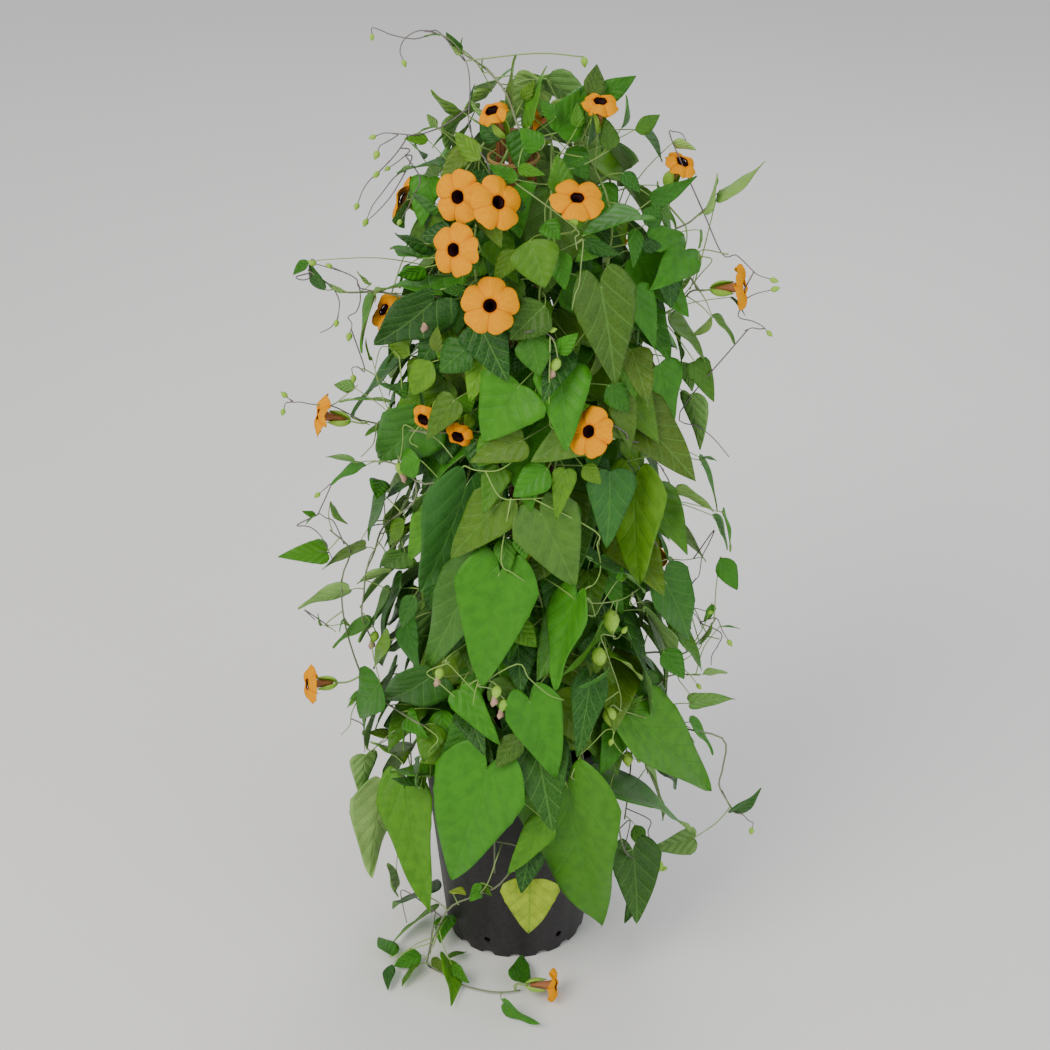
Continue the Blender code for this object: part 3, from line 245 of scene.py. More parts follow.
# Side shoots: the vine each grows on, and its route as seen on the column's surface
SHOOTS = (
    (1, ((522, 133), (507, 95), (487, 70), (463, 53), (452, 41), (440, 34))),
    (0, ((410, 297), (380, 292), (343, 292), (327, 283), (308, 270))),
    (0, ((425, 432), (385, 425), (356, 419))),
    (0, ((425, 484), (395, 464), (374, 461))),
    (0, ((414, 502), (384, 526), (374, 553), (366, 572), (364, 593), (362, 616), (372, 640))),
    (0, ((420, 724), (385, 702), (370, 689), (357, 664), (344, 619), (342, 579), (350, 550), (330, 530))),
    (2, ((655, 652), (680, 655), (702, 638), (716, 618))),
    (2, ((640, 700), (669, 676), (700, 675))),
    (2, ((670, 722), (722, 738), (723, 766), (719, 784), (726, 799), (733, 810))),
    (2, ((612, 806), (624, 850), (640, 861), (652, 852))),
    (2, ((672, 310), (690, 292), (704, 290))),
    (2, ((668, 240), (690, 222), (706, 208))),
)
# The shoot that hangs down the front of the pot and runs on over the floor
TRAILER_HANG = ((521, 850), (500, 884), (474, 896), (446, 912))
TRAILER_FLOOR = ((427, 962), (441, 972), (460, 984), (487, 991), (506, 992), (520, 990))
TRAILER_VINE = 1
TRAILER_HEIGHT = 0.0030

# Leaves whose tone stands out, by where their base is seen
TONED = (
    (Tone.FRESH_AND_LIT, (
        (487, 768), (567, 783), (405, 788), (384, 789), (610, 788), (632, 715), (700, 462), (722, 512),
        (655, 566), (684, 452),
    )),
    (Tone.GREY, ((476, 573), (466, 485), (540, 512), (590, 425), (610, 472), (407, 625))),
    (Tone.DARK, ((655, 505),)),
    (Tone.PALE, ((530, 880), (452, 890))),
    (Tone.YELLOW, ((532, 397), (527, 530))),
)  # fmt: skip
TONES = {spot: tone for tone, spots in TONED for spot in spots}

# Leaves too small for the solids, besides the small ones above
SMALL_LEAVES = (
    (437, 127, 427, 114, 4), (436, 127, 418, 133, 6), (428, 140, 404, 139, 6), (415, 145, 428, 155, 8),
    (320, 630, 322, 613, 11), (392, 956, 379, 937, 11), (391, 965, 388, 990, 15), (420, 963, 402, 987, 14),
    (448, 960, 451, 1006, 13), (432, 958, 447, 972, 12), (449, 958, 467, 952, 7), (452, 965, 469, 983, 14),
    (452, 890, 466, 895, 8), (396, 870, 398, 897, 9), (360, 697, 347, 708, 12), (420, 787, 391, 779, 10),
    (424, 775, 424, 790, 8), (408, 722, 404, 750, 8), (527, 530, 527, 560, 20), (483, 72, 483, 57, 8),
    (480, 883, 470, 899, 10), (480, 883, 492, 896, 10), (636, 878, 632, 890, 9), (712, 604, 704, 622, 9),
    (700, 462, 716, 510, 24), (722, 512, 730, 552, 20), (676, 490, 714, 512, 18), (708, 520, 707, 604, 38),
    (724, 550, 737, 588, 12), (655, 505, 700, 560, 50), (655, 566, 676, 640, 30), (690, 600, 697, 652, 24),
    (684, 452, 690, 492, 14), (706, 622, 700, 645, 14), (702, 458, 717, 461, 12), (640, 470, 676, 520, 34),
    (690, 395, 700, 450, 22), (700, 655, 712, 700, 20), (668, 640, 690, 700, 30), (712, 560, 722, 600, 14),
)

THIN, GREEN, PALE = Bark.THIN, Bark.GREEN, Bark.PALE
BARE, BUD, LEAFY = Tip.NONE, Tip.BUD, Tip.LEAF
# Thin shoots, tendrils and stalks: bark, tip, and the places where they are seen, across and down in turn
SPRIGS = (
    (THIN, LEAFY, (490, 172, 479, 150, 469, 125, 470, 90, 468, 68, 462, 54)),
    (THIN, BUD, (440, 33, 430, 31, 418, 31, 408, 36, 402, 43, 400, 52, 403, 60)),
    (THIN, BUD, (436, 33, 424, 37, 412, 39, 392, 35, 380, 30, 372, 28, 372, 34)),
    (THIN, BUD, (445, 125, 428, 132, 415, 135, 400, 134, 385, 133, 376, 136)),
    (THIN, BUD, (398, 135, 385, 143, 380, 146, 378, 151)),
    (THIN, BUD, (405, 141, 395, 155, 384, 167, 370, 180, 363, 190, 358, 203)),
    (THIN, BUD, (410, 150, 400, 160, 390, 167)), (THIN, BUD, (384, 167, 379, 172)),
    (THIN, BARE, (412, 158, 398, 185, 388, 200, 376, 213, 368, 220)),
    (THIN, BUD, (400, 173, 392, 180, 383, 192, 373, 205, 367, 219)),
    (THIN, BUD, (420, 178, 414, 195, 408, 208, 401, 220)),
    (THIN, BUD, (360, 288, 357, 280, 350, 275, 343, 272, 332, 267)),
    (THIN, BUD, (343, 272, 330, 268, 316, 264)), (THIN, BUD, (335, 291, 339, 300, 339, 310, 337, 320)),
    (THIN, BARE, (337, 320, 330, 328, 320, 333)),
    (THIN, BUD, (360, 292, 360, 302, 356, 312, 348, 317, 352, 324, 350, 333)),
    (THIN, BARE, (296, 277, 303, 280, 310, 277, 309, 266, 312, 259, 316, 262)),
    (THIN, BUD, (365, 370, 358, 367, 352, 368, 353, 375)),
    (PALE, BARE, (366, 370, 375, 375, 385, 382, 395, 390, 410, 400)),
    (PALE, BARE, (400, 362, 398, 355, 390, 348, 382, 347, 378, 355, 375, 370)),
    (THIN, BUD, (525, 332, 535, 330, 545, 332, 549, 331)), (THIN, BARE, (545, 332, 555, 340)),
    (GREEN, BARE, (572, 225, 575, 238, 577, 250)),
    (GREEN, BARE, (583, 240, 581, 265, 579, 285, 575, 295, 572, 310)),
    (PALE, BARE, (550, 425, 565, 412, 580, 400)),
    (PALE, BARE, (464, 466, 475, 470, 495, 471, 508, 465, 515, 458)),
    (PALE, BARE, (500, 497, 522, 499, 543, 498)), (PALE, BARE, (438, 440, 453, 458)),
    (THIN, BARE, (671, 138, 674, 132, 682, 134, 686, 141)),
    (THIN, BUD, (722, 254, 735, 255, 742, 260, 750, 268, 758, 275, 770, 279)),
    (THIN, BUD, (740, 300, 755, 294, 771, 290)), (THIN, BUD, (738, 316, 752, 321, 762, 326, 767, 331)),
    (THIN, BARE, (759, 329, 752, 328, 744, 331)), (GREEN, BARE, (702, 250, 698, 262, 690, 290)),
    (GREEN, BARE, (712, 260, 700, 275, 680, 300, 668, 315)),
    (THIN, BARE, (680, 412, 700, 427, 715, 440, 729, 457)),
    (THIN, BARE, (622, 430, 628, 440, 640, 443, 650, 450, 656, 461, 664, 470)),
    (THIN, BUD, (335, 407, 320, 405, 310, 404, 300, 402, 293, 402, 287, 397)),
    (THIN, BUD, (293, 402, 286, 403, 284, 409)), (GREEN, BARE, (330, 406, 345, 396, 358, 385)),
    (GREEN, BARE, (352, 418, 362, 422, 370, 425)), (GREEN, BARE, (374, 442, 368, 450, 361, 457)),
    (PALE, BARE, (422, 424, 413, 434, 410, 442, 418, 447)),
    (PALE, BARE, (404, 425, 403, 440, 401, 455, 399, 462)),
    (THIN, LEAFY, (334, 522, 326, 518, 320, 514, 316, 515)),
    (THIN, BARE, (297, 525, 305, 526, 312, 528, 320, 535, 326, 545, 333, 560)),
    (THIN, BARE, (316, 552, 324, 561)), (THIN, BUD, (331, 485, 325, 489, 320, 493)),
    (GREEN, BARE, (372, 522, 367, 530, 361, 540)),
    (GREEN, BARE, (385, 525, 381, 540, 371, 555, 367, 568, 364, 593)),
    (GREEN, LEAFY, (341, 580, 342, 600, 344, 619)), (GREEN, BARE, (326, 624, 331, 628, 336, 632)),
    (THIN, BARE, (305, 610, 310, 615, 315, 620)), (PALE, BARE, (447, 658, 452, 667, 462, 678, 475, 692)),
    (PALE, BARE, (427, 672, 437, 681, 446, 689, 455, 697)), (PALE, BARE, (478, 680, 475, 692, 473, 705)),
    (PALE, BARE, (517, 664, 528, 677, 540, 688, 551, 696, 564, 700)),
    (PALE, BARE, (501, 560, 513, 573, 526, 582)),
    (PALE, BARE, (595, 531, 597, 545, 600, 560, 600, 572, 595, 583, 588, 588)),
    (PALE, BARE, (585, 590, 587, 605, 586, 625)), (PALE, BARE, (590, 600, 593, 608, 595, 617)),
    (GREEN, BARE, (592, 603, 610, 602, 625, 598, 640, 588)),
    (GREEN, LEAFY, (595, 615, 603, 602, 612, 588, 618, 580)), (GREEN, BARE, (630, 605, 640, 602, 657, 602)),
    (GREEN, BUD, (613, 635, 618, 638, 622, 633)),
    (THIN, BARE, (670, 485, 662, 497, 655, 510, 647, 522, 648, 532, 655, 542, 659, 552)),
    (GREEN, BARE, (656, 562, 668, 559, 685, 560, 702, 557)),
    (THIN, BARE, (714, 530, 708, 545, 702, 557, 699, 575, 693, 582)),
    (THIN, BARE, (681, 600, 690, 610, 697, 617, 702, 628)), (THIN, BUD, (693, 608, 706, 611)),
    (THIN, BARE, (721, 633, 718, 645, 712, 655, 711, 665)),
    (GREEN, BARE, (705, 637, 700, 648, 690, 656, 679, 663)), (GREEN, BUD, (676, 660, 690, 675, 697, 684)),
    (GREEN, BARE, (679, 680, 685, 688, 692, 697)), (THIN, BUD, (716, 618, 722, 630, 728, 640)),
    (GREEN, BUD, (601, 635, 606, 650, 611, 665, 617, 682, 621, 700, 618, 720, 612, 739)),
    (PALE, BARE, (595, 710, 592, 730, 585, 745, 578, 760, 571, 777)),
    (PALE, BARE, (606, 730, 594, 742, 580, 755)), (PALE, BUD, (613, 740, 622, 753, 630, 757, 638, 760)),
    (GREEN, BARE, (572, 778, 583, 780, 600, 790, 612, 793)), (GREEN, BARE, (651, 700, 668, 715, 690, 728)),
    (GREEN, BARE, (630, 713, 650, 719, 680, 725)),
    (THIN, BUD, (733, 811, 742, 814, 748, 820, 753, 823, 752, 828)),
    (THIN, BARE, (630, 820, 627, 838, 625, 850, 632, 858, 641, 861, 636, 878)),
    (THIN, BARE, (650, 820, 648, 832, 651, 845, 645, 859)), (THIN, BUD, (641, 861, 653, 870, 660, 869)),
    (PALE, BARE, (438, 738, 430, 750, 428, 762)), (GREEN, BARE, (352, 712, 350, 725, 341, 735)),
    (THIN, BARE, (363, 725, 364, 738, 365, 752)), (GREEN, BARE, (373, 753, 377, 745, 395, 730)),
    (GREEN, LEAFY, (496, 860, 491, 875, 486, 886, 480, 893)), (THIN, BARE, (404, 890, 403, 905, 407, 923)),
    (THIN, BARE, (433, 928, 431, 940, 428, 955)),
)

# Faded blooms, shrunk to a twist, by where they are seen
FADED = ((429, 318), (558, 367), (398, 471), (376, 640), (441, 676), (498, 694), (505, 708))
# Closed bract pairs that stand out, by where they are seen and how long they look
CALYXES = ((610, 624, 26), (598, 660, 24), (609, 719, 22), (627, 761, 18), (659, 868, 14), (584, 62, 10))


@dataclass(frozen=True)
class Sight:
    """The front view: a viewpoint, and a square frame of 1050 units a side."""

    start: Triple = (0.009, -1.6, 1.35)
    pitch: float = math.radians(30.15)
    reach: float = 2190.0
    middle: float = 525.0
    unit: float = 0.00082
    sensor: float = 36.0
    lens: float = 75.1

    def line(self, across: float, down: float) -> Vector:
        """The direction in which a point of the view is seen."""
        ahead = Vector((0.0, math.cos(self.pitch), -math.sin(self.pitch)))
        upward = Vector((0.0, math.sin(self.pitch), math.cos(self.pitch)))
        rightward = Vector((1.0, 0.0, 0.0))
        right = (across - self.middle) / self.reach
        up = (self.middle - down) / self.reach
        return (ahead + rightward * right + upward * up).normalized()

    def on_level(self, across: float, down: float, z: float) -> Vector:
        """Where a sight line comes down to a height."""
        line = self.line(across, down)
        start = Vector(self.start)
        return start + line * ((z - start.z) / line.z)

    def facing(self, turn: float, rise: float) -> Vector:
        """The direction of a face turned right and up, in degrees, from facing the viewer."""
        azimuth = math.radians(-90.0 + turn)
        height = self.pitch + math.radians(rise)
        flat = math.cos(height)
        return Vector((math.cos(azimuth) * flat, math.sin(azimuth) * flat, math.sin(height)))

    def camera(self) -> None:
        """Make the camera and set it as the scene's own."""
        data = bpy.data.cameras.new("camera")
        data.sensor_width, data.lens = self.sensor, self.lens
        made = bpy.data.objects.new("camera", data)
        made.location = self.start
        made.rotation_euler = (math.pi / 2 - self.pitch, 0.0, 0.0)
        bpy.context.scene.collection.objects.link(made)
        bpy.context.scene.camera = made


@dataclass(frozen=True)
class Column:
    """The foliage column: its radius at each height, and how far its axis leans to +X per metre."""

    heights: tuple[float, ...] = (0.00, 0.10, 0.25, 0.42, 0.62, 0.71, 0.76, 0.80, 0.84)
    radii: tuple[float, ...] = (0.112, 0.116, 0.118, 0.112, 0.112, 0.104, 0.084, 0.050, 0.012)
    lean: float = 0.022

    def radius(self, z: float) -> float:
        """The radius at a height."""
        return float(np.interp(z, self.heights, self.radii))

    def point(self, turn: float, radius: float, z: float) -> Vector:
        """A point at a turn in degrees about the axis."""
        angle = math.radians(turn)
        return Vector((self.lean * z + radius * math.cos(angle), radius * math.sin(angle), z))

    def outward(self, point: Vector) -> Vector:
        """The level direction from the axis to a point."""
        return Vector((point.x - self.lean * point.z, point.y, 0.0)).normalized()

    def seen(self, across: float, down: float, inset: float) -> Vector:
        """Where a sight line meets the column, or passes nearest to its axis.

        Args:
            across: The place across the view, from its left side.
            down: The place down the view, from its top.
            inset: How far inside the column's surface the point lies, in metres.

        Returns:
            The point.
        """
        line, start = SIGHT.line(across, down), Vector(SIGHT.start)
        flat = line.x**2 + line.y**2
        reach = -(start.x * line.x + start.y * line.y) / flat
        for _ in range(8):
            point = start + line * reach
            radius = max(self.radius(point.z) - inset, 0.0)
            start_x = start.x - self.lean * point.z
            half = start_x * line.x + start.y * line.y
            rest = half**2 - flat * (start_x**2 + start.y**2 - radius**2)
            reach = (reach + (-half - math.sqrt(max(rest, 0.0))) / flat) / 2
        return start + line * reach


SIGHT = Sight()
COLUMN = Column()


def level_spot(reach: float, angle: float, z: float = 0.0) -> Vector:
    """A point at a reach and an angle in radians about Z."""
    return Vector((reach * math.cos(angle), reach * math.sin(angle), z))


def ring_turns(count: int) -> list[float]:
    """The angles of a ring's points, in radians."""
    return [2 * math.pi * k / count for k in range(count)]


class Solid:
    """A placed piece that later pieces stay clear of."""

    def __init__(self, owner: int, kind: str, points: Points, faces: Faces) -> None:
        """Keep the piece's surface and its box.

        Args:
            owner: The vine that it belongs to, or -1.
            kind: What it is: stem, stalk, blade, bloom or holder.
            points: Its corners.
            faces: Its faces, as corner numbers.
        """
        self.owner = owner
        self.kind = kind
        self.tree = BVHTree.FromPolygons(points, faces)
        self.low = np.min(np.array([tuple(p) for p in points]), axis=0)
        self.high = np.max(np.array([tuple(p) for p in points]), axis=0)

    @classmethod
    def of_mesh(cls, owner: int, kind: str, mesh: Mesh) -> "Solid":
        """The test solid of a mesh."""
        return cls(owner, kind, [v.co for v in mesh.vertices], [tuple(p.vertices) for p in mesh.polygons])

    @classmethod
    def of_sheet(cls, owner: int, kind: str, points: Points, faces: Faces, thickness: float) -> "Solid":
        """The test solid of an open sheet: both of its sides and the rim between them.

        Args:
            owner: The vine that it belongs to, or -1.
            kind: What it is.
            points: The sheet's corners.
            faces: The sheet's faces.
            thickness: How far apart its two sides are.

        Returns:
            The solid.
        """
        normals = [Vector() for _ in points]
        ends: dict[frozenset[int], tuple[int, int] | None] = {}
        for face in faces:
            a, b, c = (points[i] for i in face[:3])
            normal = (b - a).cross(c - a)
            for i, corner in enumerate(face):
                normals[corner] += normal
                edge = (corner, face[(i + 1) % len(face)])
                ends[frozenset(edge)] = None if frozenset(edge) in ends else edge
        normals = [n.normalized() * (thickness / 2) for n in normals]
        count = len(points)
        both = [p + n for p, n in zip(points, normals)] + [p - n for p, n in zip(points, normals)]
        sides = list(faces) + [tuple(i + count for i in reversed(face)) for face in faces]
        sides += [(a, a + count, b + count, b) for a, b in filter(None, ends.values())]
        return cls(owner, kind, both, sides)

    def meets(self, other: "Solid") -> bool:
        """Whether two pieces' surfaces cross."""
        if (self.low > other.high).any() or (other.low > self.high).any():
            return False
        return bool(self.tree.overlap(other.tree))


class Thicket:
    """Every placed piece, sorted into slices by height so that few need testing."""

    slice_height = 0.05

    def __init__(self) -> None:
        """Start with nothing placed."""
        self.slices: dict[int, list[Solid]] = {}

    def layers(self, solid: Solid) -> range:
        """The slices that a solid reaches into."""
        return range(int(solid.low[2] // self.slice_height), int(solid.high[2] // self.slice_height) + 1)

    def add(self, solid: Solid) -> None:
        """Keep a placed solid."""
        for layer in self.layers(solid):
            self.slices.setdefault(layer, []).append(solid)

    def near(self, solid: Solid) -> Iterable[Solid]:
        """Each placed solid in the slices that a solid reaches into, once."""
        seen = set()
        for layer in self.layers(solid):
            for placed in self.slices.get(layer, ()):
                if id(placed) not in seen:
                    seen.add(id(placed))
                    yield placed

    def free(self, solid: Solid, heeds: Callable[[Solid], bool]) -> bool:
        """Whether a solid crosses none of the placed ones that it heeds.

        Args:
            solid: The solid to test.
            heeds: Says whether a placed solid counts.

        Returns:
            True where it is clear.
        """
        return not any(heeds(placed) and placed.meets(solid) for placed in self.near(solid))

    def stems_met(self, solid: Solid) -> set[int] | None:
        """The vines whose stems a solid crosses, or None where it crosses anything else."""
        met: set[int] = set()
        for placed in self.near(solid):
            if placed.kind == "stem" and placed.owner in met or not placed.meets(solid):
                continue
            if placed.kind != "stem":
                return None
            met.add(placed.owner)
        return met


def test_tube(points: Points, radius: float) -> Mesh:
    """A plain four-sided tube to test for room with.

    Args:
        points: The points that it follows.
        radius: Its radius.

    Returns:
        The mesh, which the caller removes.
    """
    curve = bpy.data.curves.new("test", "CURVE")
    curve.dimensions = "3D"
    curve.bevel_depth = radius
    curve.bevel_resolution = 0
    curve.use_fill_caps = True
    spline = curve.splines.new("POLY")
    spline.points.add(len(points) - 1)
    for spot, point in zip(spline.points, points):
        spot.co = (*point, 1.0)
    guide = bpy.data.objects.new("test", curve)
    mesh = bpy.data.meshes.new_from_object(guide)
    bpy.data.objects.remove(guide)
    bpy.data.curves.remove(curve)
    return mesh


def tube_solid(vine: int, points: Points, radius: float) -> Solid:
    """The test solid of a stem."""
    mesh = test_tube(points, radius)
    solid = Solid.of_mesh(vine, "stem", mesh)
    bpy.data.meshes.remove(mesh)
    return solid


class Leaf:
    """A leaf blade between two points, with its stalk."""

    fold = 0.10
    droop = 0.16
    usual_width = 0.62
    narrow = 0.42
    narrow_width = 0.9
    slight = 0.009
    most_roll = 1.2
    small = 0.037
    large = 0.066

    def __init__(self, base: Vector, tip: Vector, width: float, side: int) -> None:
        """Face the leaf outward, rolled about its length where it looks narrow.

        Args:
            base: Where the blade meets its stalk.
            tip: The blade's tip.
            width: How wide the blade looks, in metres.
            side: 1 or -1, which way a narrow leaf is rolled.
        """
        self.base = base
        self.along = (tip - base).normalized()
        self.length = (tip - base).length
        shape = width / self.length
        roll = math.acos(min(1.0, shape / self.usual_width)) if shape < self.narrow else 0.0
        self.width = max(width, self.length * self.usual_width * (self.narrow_width if roll else 0.0))
        middle = (base + tip) / 2
        outward = COLUMN.outward(middle)
        to_viewer = (Vector(SIGHT.start) - middle).normalized()
        ahead = to_viewer if outward.dot(to_viewer) > 0.1 else outward
        face = outward * 0.5 + ahead * 0.5 + Vector((0.0, 0.0, 0.25))
        face = (face - self.along * face.dot(self.along)).normalized()
        self.face = Matrix.Rotation(min(roll, self.most_roll) * side, 3, self.along) @ face
        self.across = self.face.cross(self.along)
        self.tone = Tone.MIDDLE

    def spot(self, across: float, along: float) -> Vector:
        """A point of the blade: across in half widths, along in lengths."""
        lift = self.fold * abs(across) * self.width - self.droop * self.length * along**2
        lift += self.droop * self.length * along
        half = self.width / 2
        return (
            self.base + self.across * (across * half) + self.along * (along * self.length) + self.face * lift
        )

    def plain(self) -> tuple[list[Vector], list[Face]]:
        """The points and triangles of the solid's blade."""
        root = STALK_WIDTH / self.width
        points = [self.spot(-root, 0.0), self.spot(root, 0.0), self.spot(0.0, 1.0)]
        if self.length < self.small or self.width < self.slight:
            points += [self.spot(-1.0, 0.34), self.spot(1.0, 0.34)]
            return points, [(0, 1, 2), (0, 2, 3), (1, 4, 2)]
        if self.length < self.large:
            points += [self.spot(side * x, y) for side in (-1, 1) for x, y in ((1.0, 0.13), (0.62, 0.55))]
            return points, [(0, 1, 2), (0, 2, 4), (0, 4, 3), (1, 6, 2), (1, 5, 6)]
        outline = ((0.50, -0.13), (1.0, 0.12), (0.66, 0.52))
        points += [self.spot(0.0, 0.5)]
        points += [self.spot(side * x, y) for side in (-1, 1) for x, y in outline]
        left: list[Face] = [(0, 5, 4), (0, 3, 5), (3, 6, 5), (3, 2, 6)]
        right: list[Face] = [(1, 7, 8), (1, 8, 3), (3, 8, 9), (3, 9, 2)]
        return points, [(0, 1, 3)] + left + right

    def stalk_solid(self, owner: int, foot: Vector, thickness: float) -> Solid:
        """The test solid of the stalk, short of its foot in the stem.

        Args:
            owner: The vine that it grows on.
            foot: Where it meets the stem.
            thickness: How thick the test strip is.

        Returns:
            The solid.
        """
        short = foot.lerp(self.base, 0.12)
        course = self.base - short
        side = self.face.cross(course)
        if side.length < 0.3 * course.length:
            side = self.across.copy()
        side = side.normalized() * (STALK_FOOT_WIDTH / 2)
        if side.dot(self.across) < 0:
            side = -side
        root = STALK_WIDTH / self.width
        points = [short - side, short + side, self.spot(root, 0.0), self.spot(-root, 0.0)]
        return Solid.of_sheet(owner, "stalk", points, [(0, 1, 2, 3)], thickness)


class Bloom:
    """A corolla's place, aim and size, and the stalk and bracts behind it."""

    lobes = 5
    lobe_outline = ((-31.0, 0.62), (-20.0, 1.0), (20.0, 1.0), (31.0, 0.62))
    neck_length = 0.012

    def __init__(self, eye: Vector, aim: Vector, radius: float) -> None:
        """Set up the bloom's own axes.

        Args:
            eye: The middle of its face.
            aim: The way that it faces.
            radius: The radius of its face.
        """
        self.eye = eye
        self.aim = aim.normalized()
        self.radius = radius
        self.across = self.aim.orthogonal().normalized()
        self.up = self.aim.cross(self.across)
        self.seat = self.eye - self.aim * (TUBE_LENGTH + CLEARANCE + BLADE_THICKNESS)
        self.neck = self.seat - self.aim * self.neck_length
        self.foot = self.neck
        self.vine = 0

    def spot(self, turn: float, reach: float, depth: float) -> Vector:
        """A point round the aim, in degrees and metres."""
        angle = math.radians(turn)
        flat = self.across * math.cos(angle) + self.up * math.sin(angle)
        return self.eye + flat * reach + self.aim * depth

    def lift(self, turn: float, share: float) -> float:
        """How far a lobe's point stands forward, at a turn from its middle and a share of its reach."""
        return 0.0035 * math.sin(math.pi * share) - 0.003 * share * abs(turn) / 30.0

    def plain(self) -> tuple[list[Vector], list[Face]]:
        """The points and triangles of the solid's corolla."""
        points = [self.eye - self.aim * TUBE_LENGTH]
        faces: list[Face] = []
        ring = 2 * self.lobes
        for i in range(ring):
            points.append(self.spot(360.0 * (i - 1) / ring, THROAT_RADIUS, 0.0))
        for i in range(ring):
            faces.append((0, 1 + (i + 1) % ring, 1 + i))
        for lobe in range(self.lobes):
            middle = 360.0 * lobe / self.lobes
            inner = [1 + 2 * lobe, 2 + 2 * lobe, 1 + (2 * lobe + 2) % ring]
            start = len(points)
            for turn, share in self.lobe_outline:
                points.append(self.spot(middle + turn, self.radius * share, self.lift(turn, share)))
            a, b, c, d = range(start, start + 4)
            faces += [(inner[0], inner[1], b), (inner[0], b, a), (inner[1], c, b)]
            faces += [(inner[1], inner[2], c), (inner[2], d, c)]
        return points, faces

    def bract_solids(self) -> Iterable[Solid]:
        """The test solids of the two bracts."""
        for side in (-1, 1):
            out = self.across * side
            leaf = Leaf(self.seat - self.aim * 0.004, self.seat + self.aim * 0.012 + out * 0.0085, 0.0105, 0)
            leaf.face = out
            leaf.across = leaf.face.cross(leaf.along).normalized()
            leaf.face = leaf.along.cross(leaf.across)
            points, faces = leaf.plain()
            yield Solid.of_sheet(self.vine, "blade", points, faces, BLADE_THICKNESS)


@dataclass
class Routes:
    """Where the canes stand and how the main stems run."""

    cane_turns: tuple[float, ...] = (-90.0, 22.5, 135.0)
    soil_spread: float = 0.054
    tie_spread: float = 0.014
    tie_z: float = 0.748
    root_offset: float = 0.012
    root_depth_z: float = 0.150
    twine_radius: float = 0.0071
    twine_turns: float = 2.5
    twine_steps: int = 6
    twine_top_z: float = 0.70
    bend_rise: float = 0.012
    twine_rise: float = 0.030
    runner_heights: tuple[float, ...] = (0.300, 0.370, 0.440, 0.510, 0.580, 0.650, 0.715, 0.778)
    runner_inset: float = 0.036
    runner_least: float = 0.016
    runner_wander: float = 9.0
    skirt_places: tuple[Flat, ...] = (
        (0.078, 0.252), (0.094, 0.247), (0.1005, 0.218), (0.1010, 0.170), (0.0985, 0.125),
    )  # fmt: skip
    side_turn: float = 12.0

    def cane(self, cane: int, z: float) -> Vector:
        """The middle of a cane at a height."""
        share = (z - SOIL_TOP) / (self.tie_z - SOIL_TOP)
        spread = self.soil_spread + (self.tie_spread - self.soil_spread) * share
        return level_spot(spread, math.radians(self.cane_turns[cane]), z)

    def root(self, vine: int) -> Vector:
        """Where a vine's stem stands in the soil."""
        foot = self.cane(CANE_OF_VINE[vine], SOIL_TOP)
        angle = math.radians(VINE_TURNS[vine])
        x = foot.x + self.root_offset * math.cos(angle)
        return Vector((x, foot.y + self.root_offset * math.sin(angle), SOIL_TOP))

    def trunk(self, vine: int) -> list[Vector]:
        """A vine's main stem: up out of the soil, then twined round its cane."""
        cane, root = CANE_OF_VINE[vine], self.root(vine)
        points = [Vector((root.x, root.y, z)) for z in (self.root_depth_z, SOIL_TOP + self.bend_rise)]
        start_z = SOIL_TOP + self.twine_rise
        count = int(self.twine_turns * self.twine_steps)
        for i in range(count + 1):
            z = start_z + (self.twine_top_z - start_z) * i / count
            angle = math.radians(VINE_TURNS[vine]) + 2 * math.pi * i / self.twine_steps
            points.append(self.cane(cane, z) + level_spot(1.0, angle) * self.twine_radius)
        return points

    def runner(self, vine: int, trunk: Points) -> list[Vector]:
        """A long shoot that leaves the trunk low down and climbs just inside the foliage."""
        points = [trunk[2]]
        for i, z in enumerate(self.runner_heights):
            radius = max(COLUMN.radius(z) - self.runner_inset, self.runner_least)
            wander = self.runner_wander * math.sin(1.9 * i + vine)
            points.append(COLUMN.point(VINE_TURNS[vine] + self.side_turn + wander, radius, z))
        return points

    def skirt(self, vine: int, trunk: Points) -> list[Vector]:
        """A short shoot that hangs over the lip of the pot."""
        turn = VINE_TURNS[vine] - self.side_turn
        return [trunk[1]] + [COLUMN.point(turn, radius, z) for radius, z in self.skirt_places]


ROUTES = Routes()


